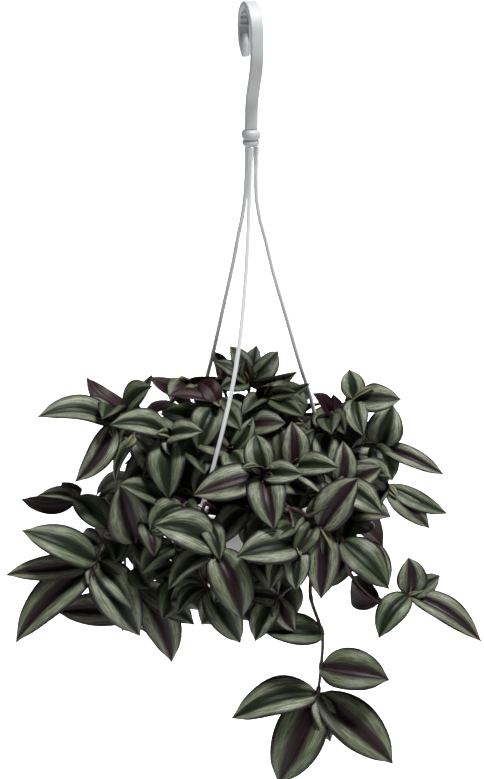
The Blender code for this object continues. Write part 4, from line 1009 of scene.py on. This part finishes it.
def makeSoil():
    rings, sides = soil["rings"], soil["sides"]
    radius = (soilHigh.x - soilLow.x) / 2 - soil["inset"]
    level = soilHigh.z - soil["level"]
    points = [(0, 0, level + soil["crown"])]
    for i in range(1, rings + 1):
        share = i / rings
        for j in range(sides):
            angle = 2 * math.pi * j / sides + 0.03 * i
            x, y = radius * share * math.cos(angle), radius * share * math.sin(angle)
            spot = Vector((x, y, 0))
            bumps = 0.0020 * noise.noise(spot * 130) + 0.0012 * noise.noise(spot * 330)
            fade = min(1, (1 - share) * 6)
            points.append((x, y, level + soil["crown"] * (1 - share ** 2) + bumps * fade))
    faces = [(0, 1 + j, 1 + (j + 1) % sides) for j in range(sides)]
    for i in range(rings - 1):
        a, b = 1 + i * sides, 1 + (i + 1) * sides
        faces += [(a + j, b + j, b + (j + 1) % sides, a + (j + 1) % sides) for j in range(sides)]
    skirt = len(points)
    for x, y, _ in points[skirt - sides:]:
        points.append((x * 0.90, y * 0.90, level - soil["skirt"]))
    a = skirt - sides
    faces += [(a + j, skirt + j, skirt + (j + 1) % sides, a + (j + 1) % sides) for j in range(sides)]
    faces.append(tuple(skirt + j for j in reversed(range(sides))))
    crumbs = random.Random(soil["seed"])
    for _ in range(soil["crumbs"]):
        addCrumb(points, faces, crumbs, radius, level)
    piece = meshPiece("peatSurface", points, faces, peatFinish())
    return settle(outward(piece), "peat", "soil")


makePot()
makeSoil()
print("pot filled")

studio = {
    "floorZ": -1.15,
    "floorBox": (-12.0, -7.0, 12.0, 16.0),  # left, front, right, back
    "floorTint": ((0.90, 0.90, 0.90, 1), (0.92, 0.92, 0.92, 1)),
    "floorGlow": 0.25,
    "topBox": {"place": (0.9, -1.1, 4.0), "aim": (0, 0, -0.35), "size": 1.1, "power": 370},
    "frontBox": {"place": (-1.0, -2.4, 0.8), "aim": (0, 0, -0.4), "size": 1.0, "power": 3.5},
    "floorLights": {"behind": (2.6, 5.4, 8.6, 12.0), "height": 2.4, "power": 900, "cone": 82},
    "air": 0.05,
}


def makeFloor():
    left, front, right, back = studio["floorBox"]
    corners = ((left, front), (right, front), (right, back), (left, back))
    points = [(x, y, studio["floorZ"]) for x, y in corners]
    material, start, place, feed = newFinish("studioFloor", {
        "Roughness": 0.9, "Specular IOR Level": 0.0, "Emission Color": (1, 1, 1, 1),
        "Emission Strength": studio["floorGlow"]})
    feed(Base_Color=place.grain(0.8, detail=2.0).blend(*studio["floorTint"]))
    meshPiece("studioFloor", points, [(0, 1, 2, 3)], material)


def placed(data, place, ahead=(0, 0, -1), roll=0):  # looks along ahead, then rolls by degrees
    made = bpy.data.objects.new(data.name, data)
    made.location = place
    made.rotation_mode = "QUATERNION"
    turn = Matrix.Rotation(math.radians(roll), 3, "Z").to_quaternion()
    made.rotation_quaternion = Vector(ahead).to_track_quat("-Z", "Y") @ turn
    bpy.context.scene.collection.objects.link(made)
    return made


def softLight(name):
    settings = studio[name]
    light = bpy.data.lights.new(name, "AREA")
    light.shape, light.size, light.energy = "SQUARE", settings["size"], settings["power"]
    placed(light, settings["place"], Vector(settings["aim"]) - Vector(settings["place"]))


def floorLight(distance):  # straight down on the floor behind the plant
    settings = studio["floorLights"]
    light = bpy.data.lights.new("floorLight", "SPOT")
    light.energy, light.spot_size = settings["power"], math.radians(settings["cone"])
    light.spot_blend, light.shadow_soft_size = 0.4, 0.5
    placed(light, (0, distance, settings["height"]))


makeFloor()
softLight("topBox")
softLight("frontBox")
for distance in studio["floorLights"]["behind"]:
    floorLight(distance)
world = bpy.data.worlds.new("studioAir")
bpy.context.scene.world = world
world.use_nodes = True
air = world.node_tree.nodes["Background"]
air.inputs["Color"].default_value = (1, 1, 1, 1)
air.inputs["Strength"].default_value = studio["air"]
bpy.context.scene.view_settings.view_transform = "Standard"
print("studio lit")

view = {"place": (0, -1.9, 0.244), "pitch": 16.56, "roll": 1.2, "lens": 108.4}


def makeCamera():
    camera = bpy.data.cameras.new("camera")
    camera.lens, camera.sensor_width = view["lens"], 36
    pitch = math.radians(view["pitch"])
    ahead = (0, math.cos(pitch), -math.sin(pitch))
    bpy.context.scene.camera = placed(camera, view["place"], ahead, view["roll"])


makeCamera()
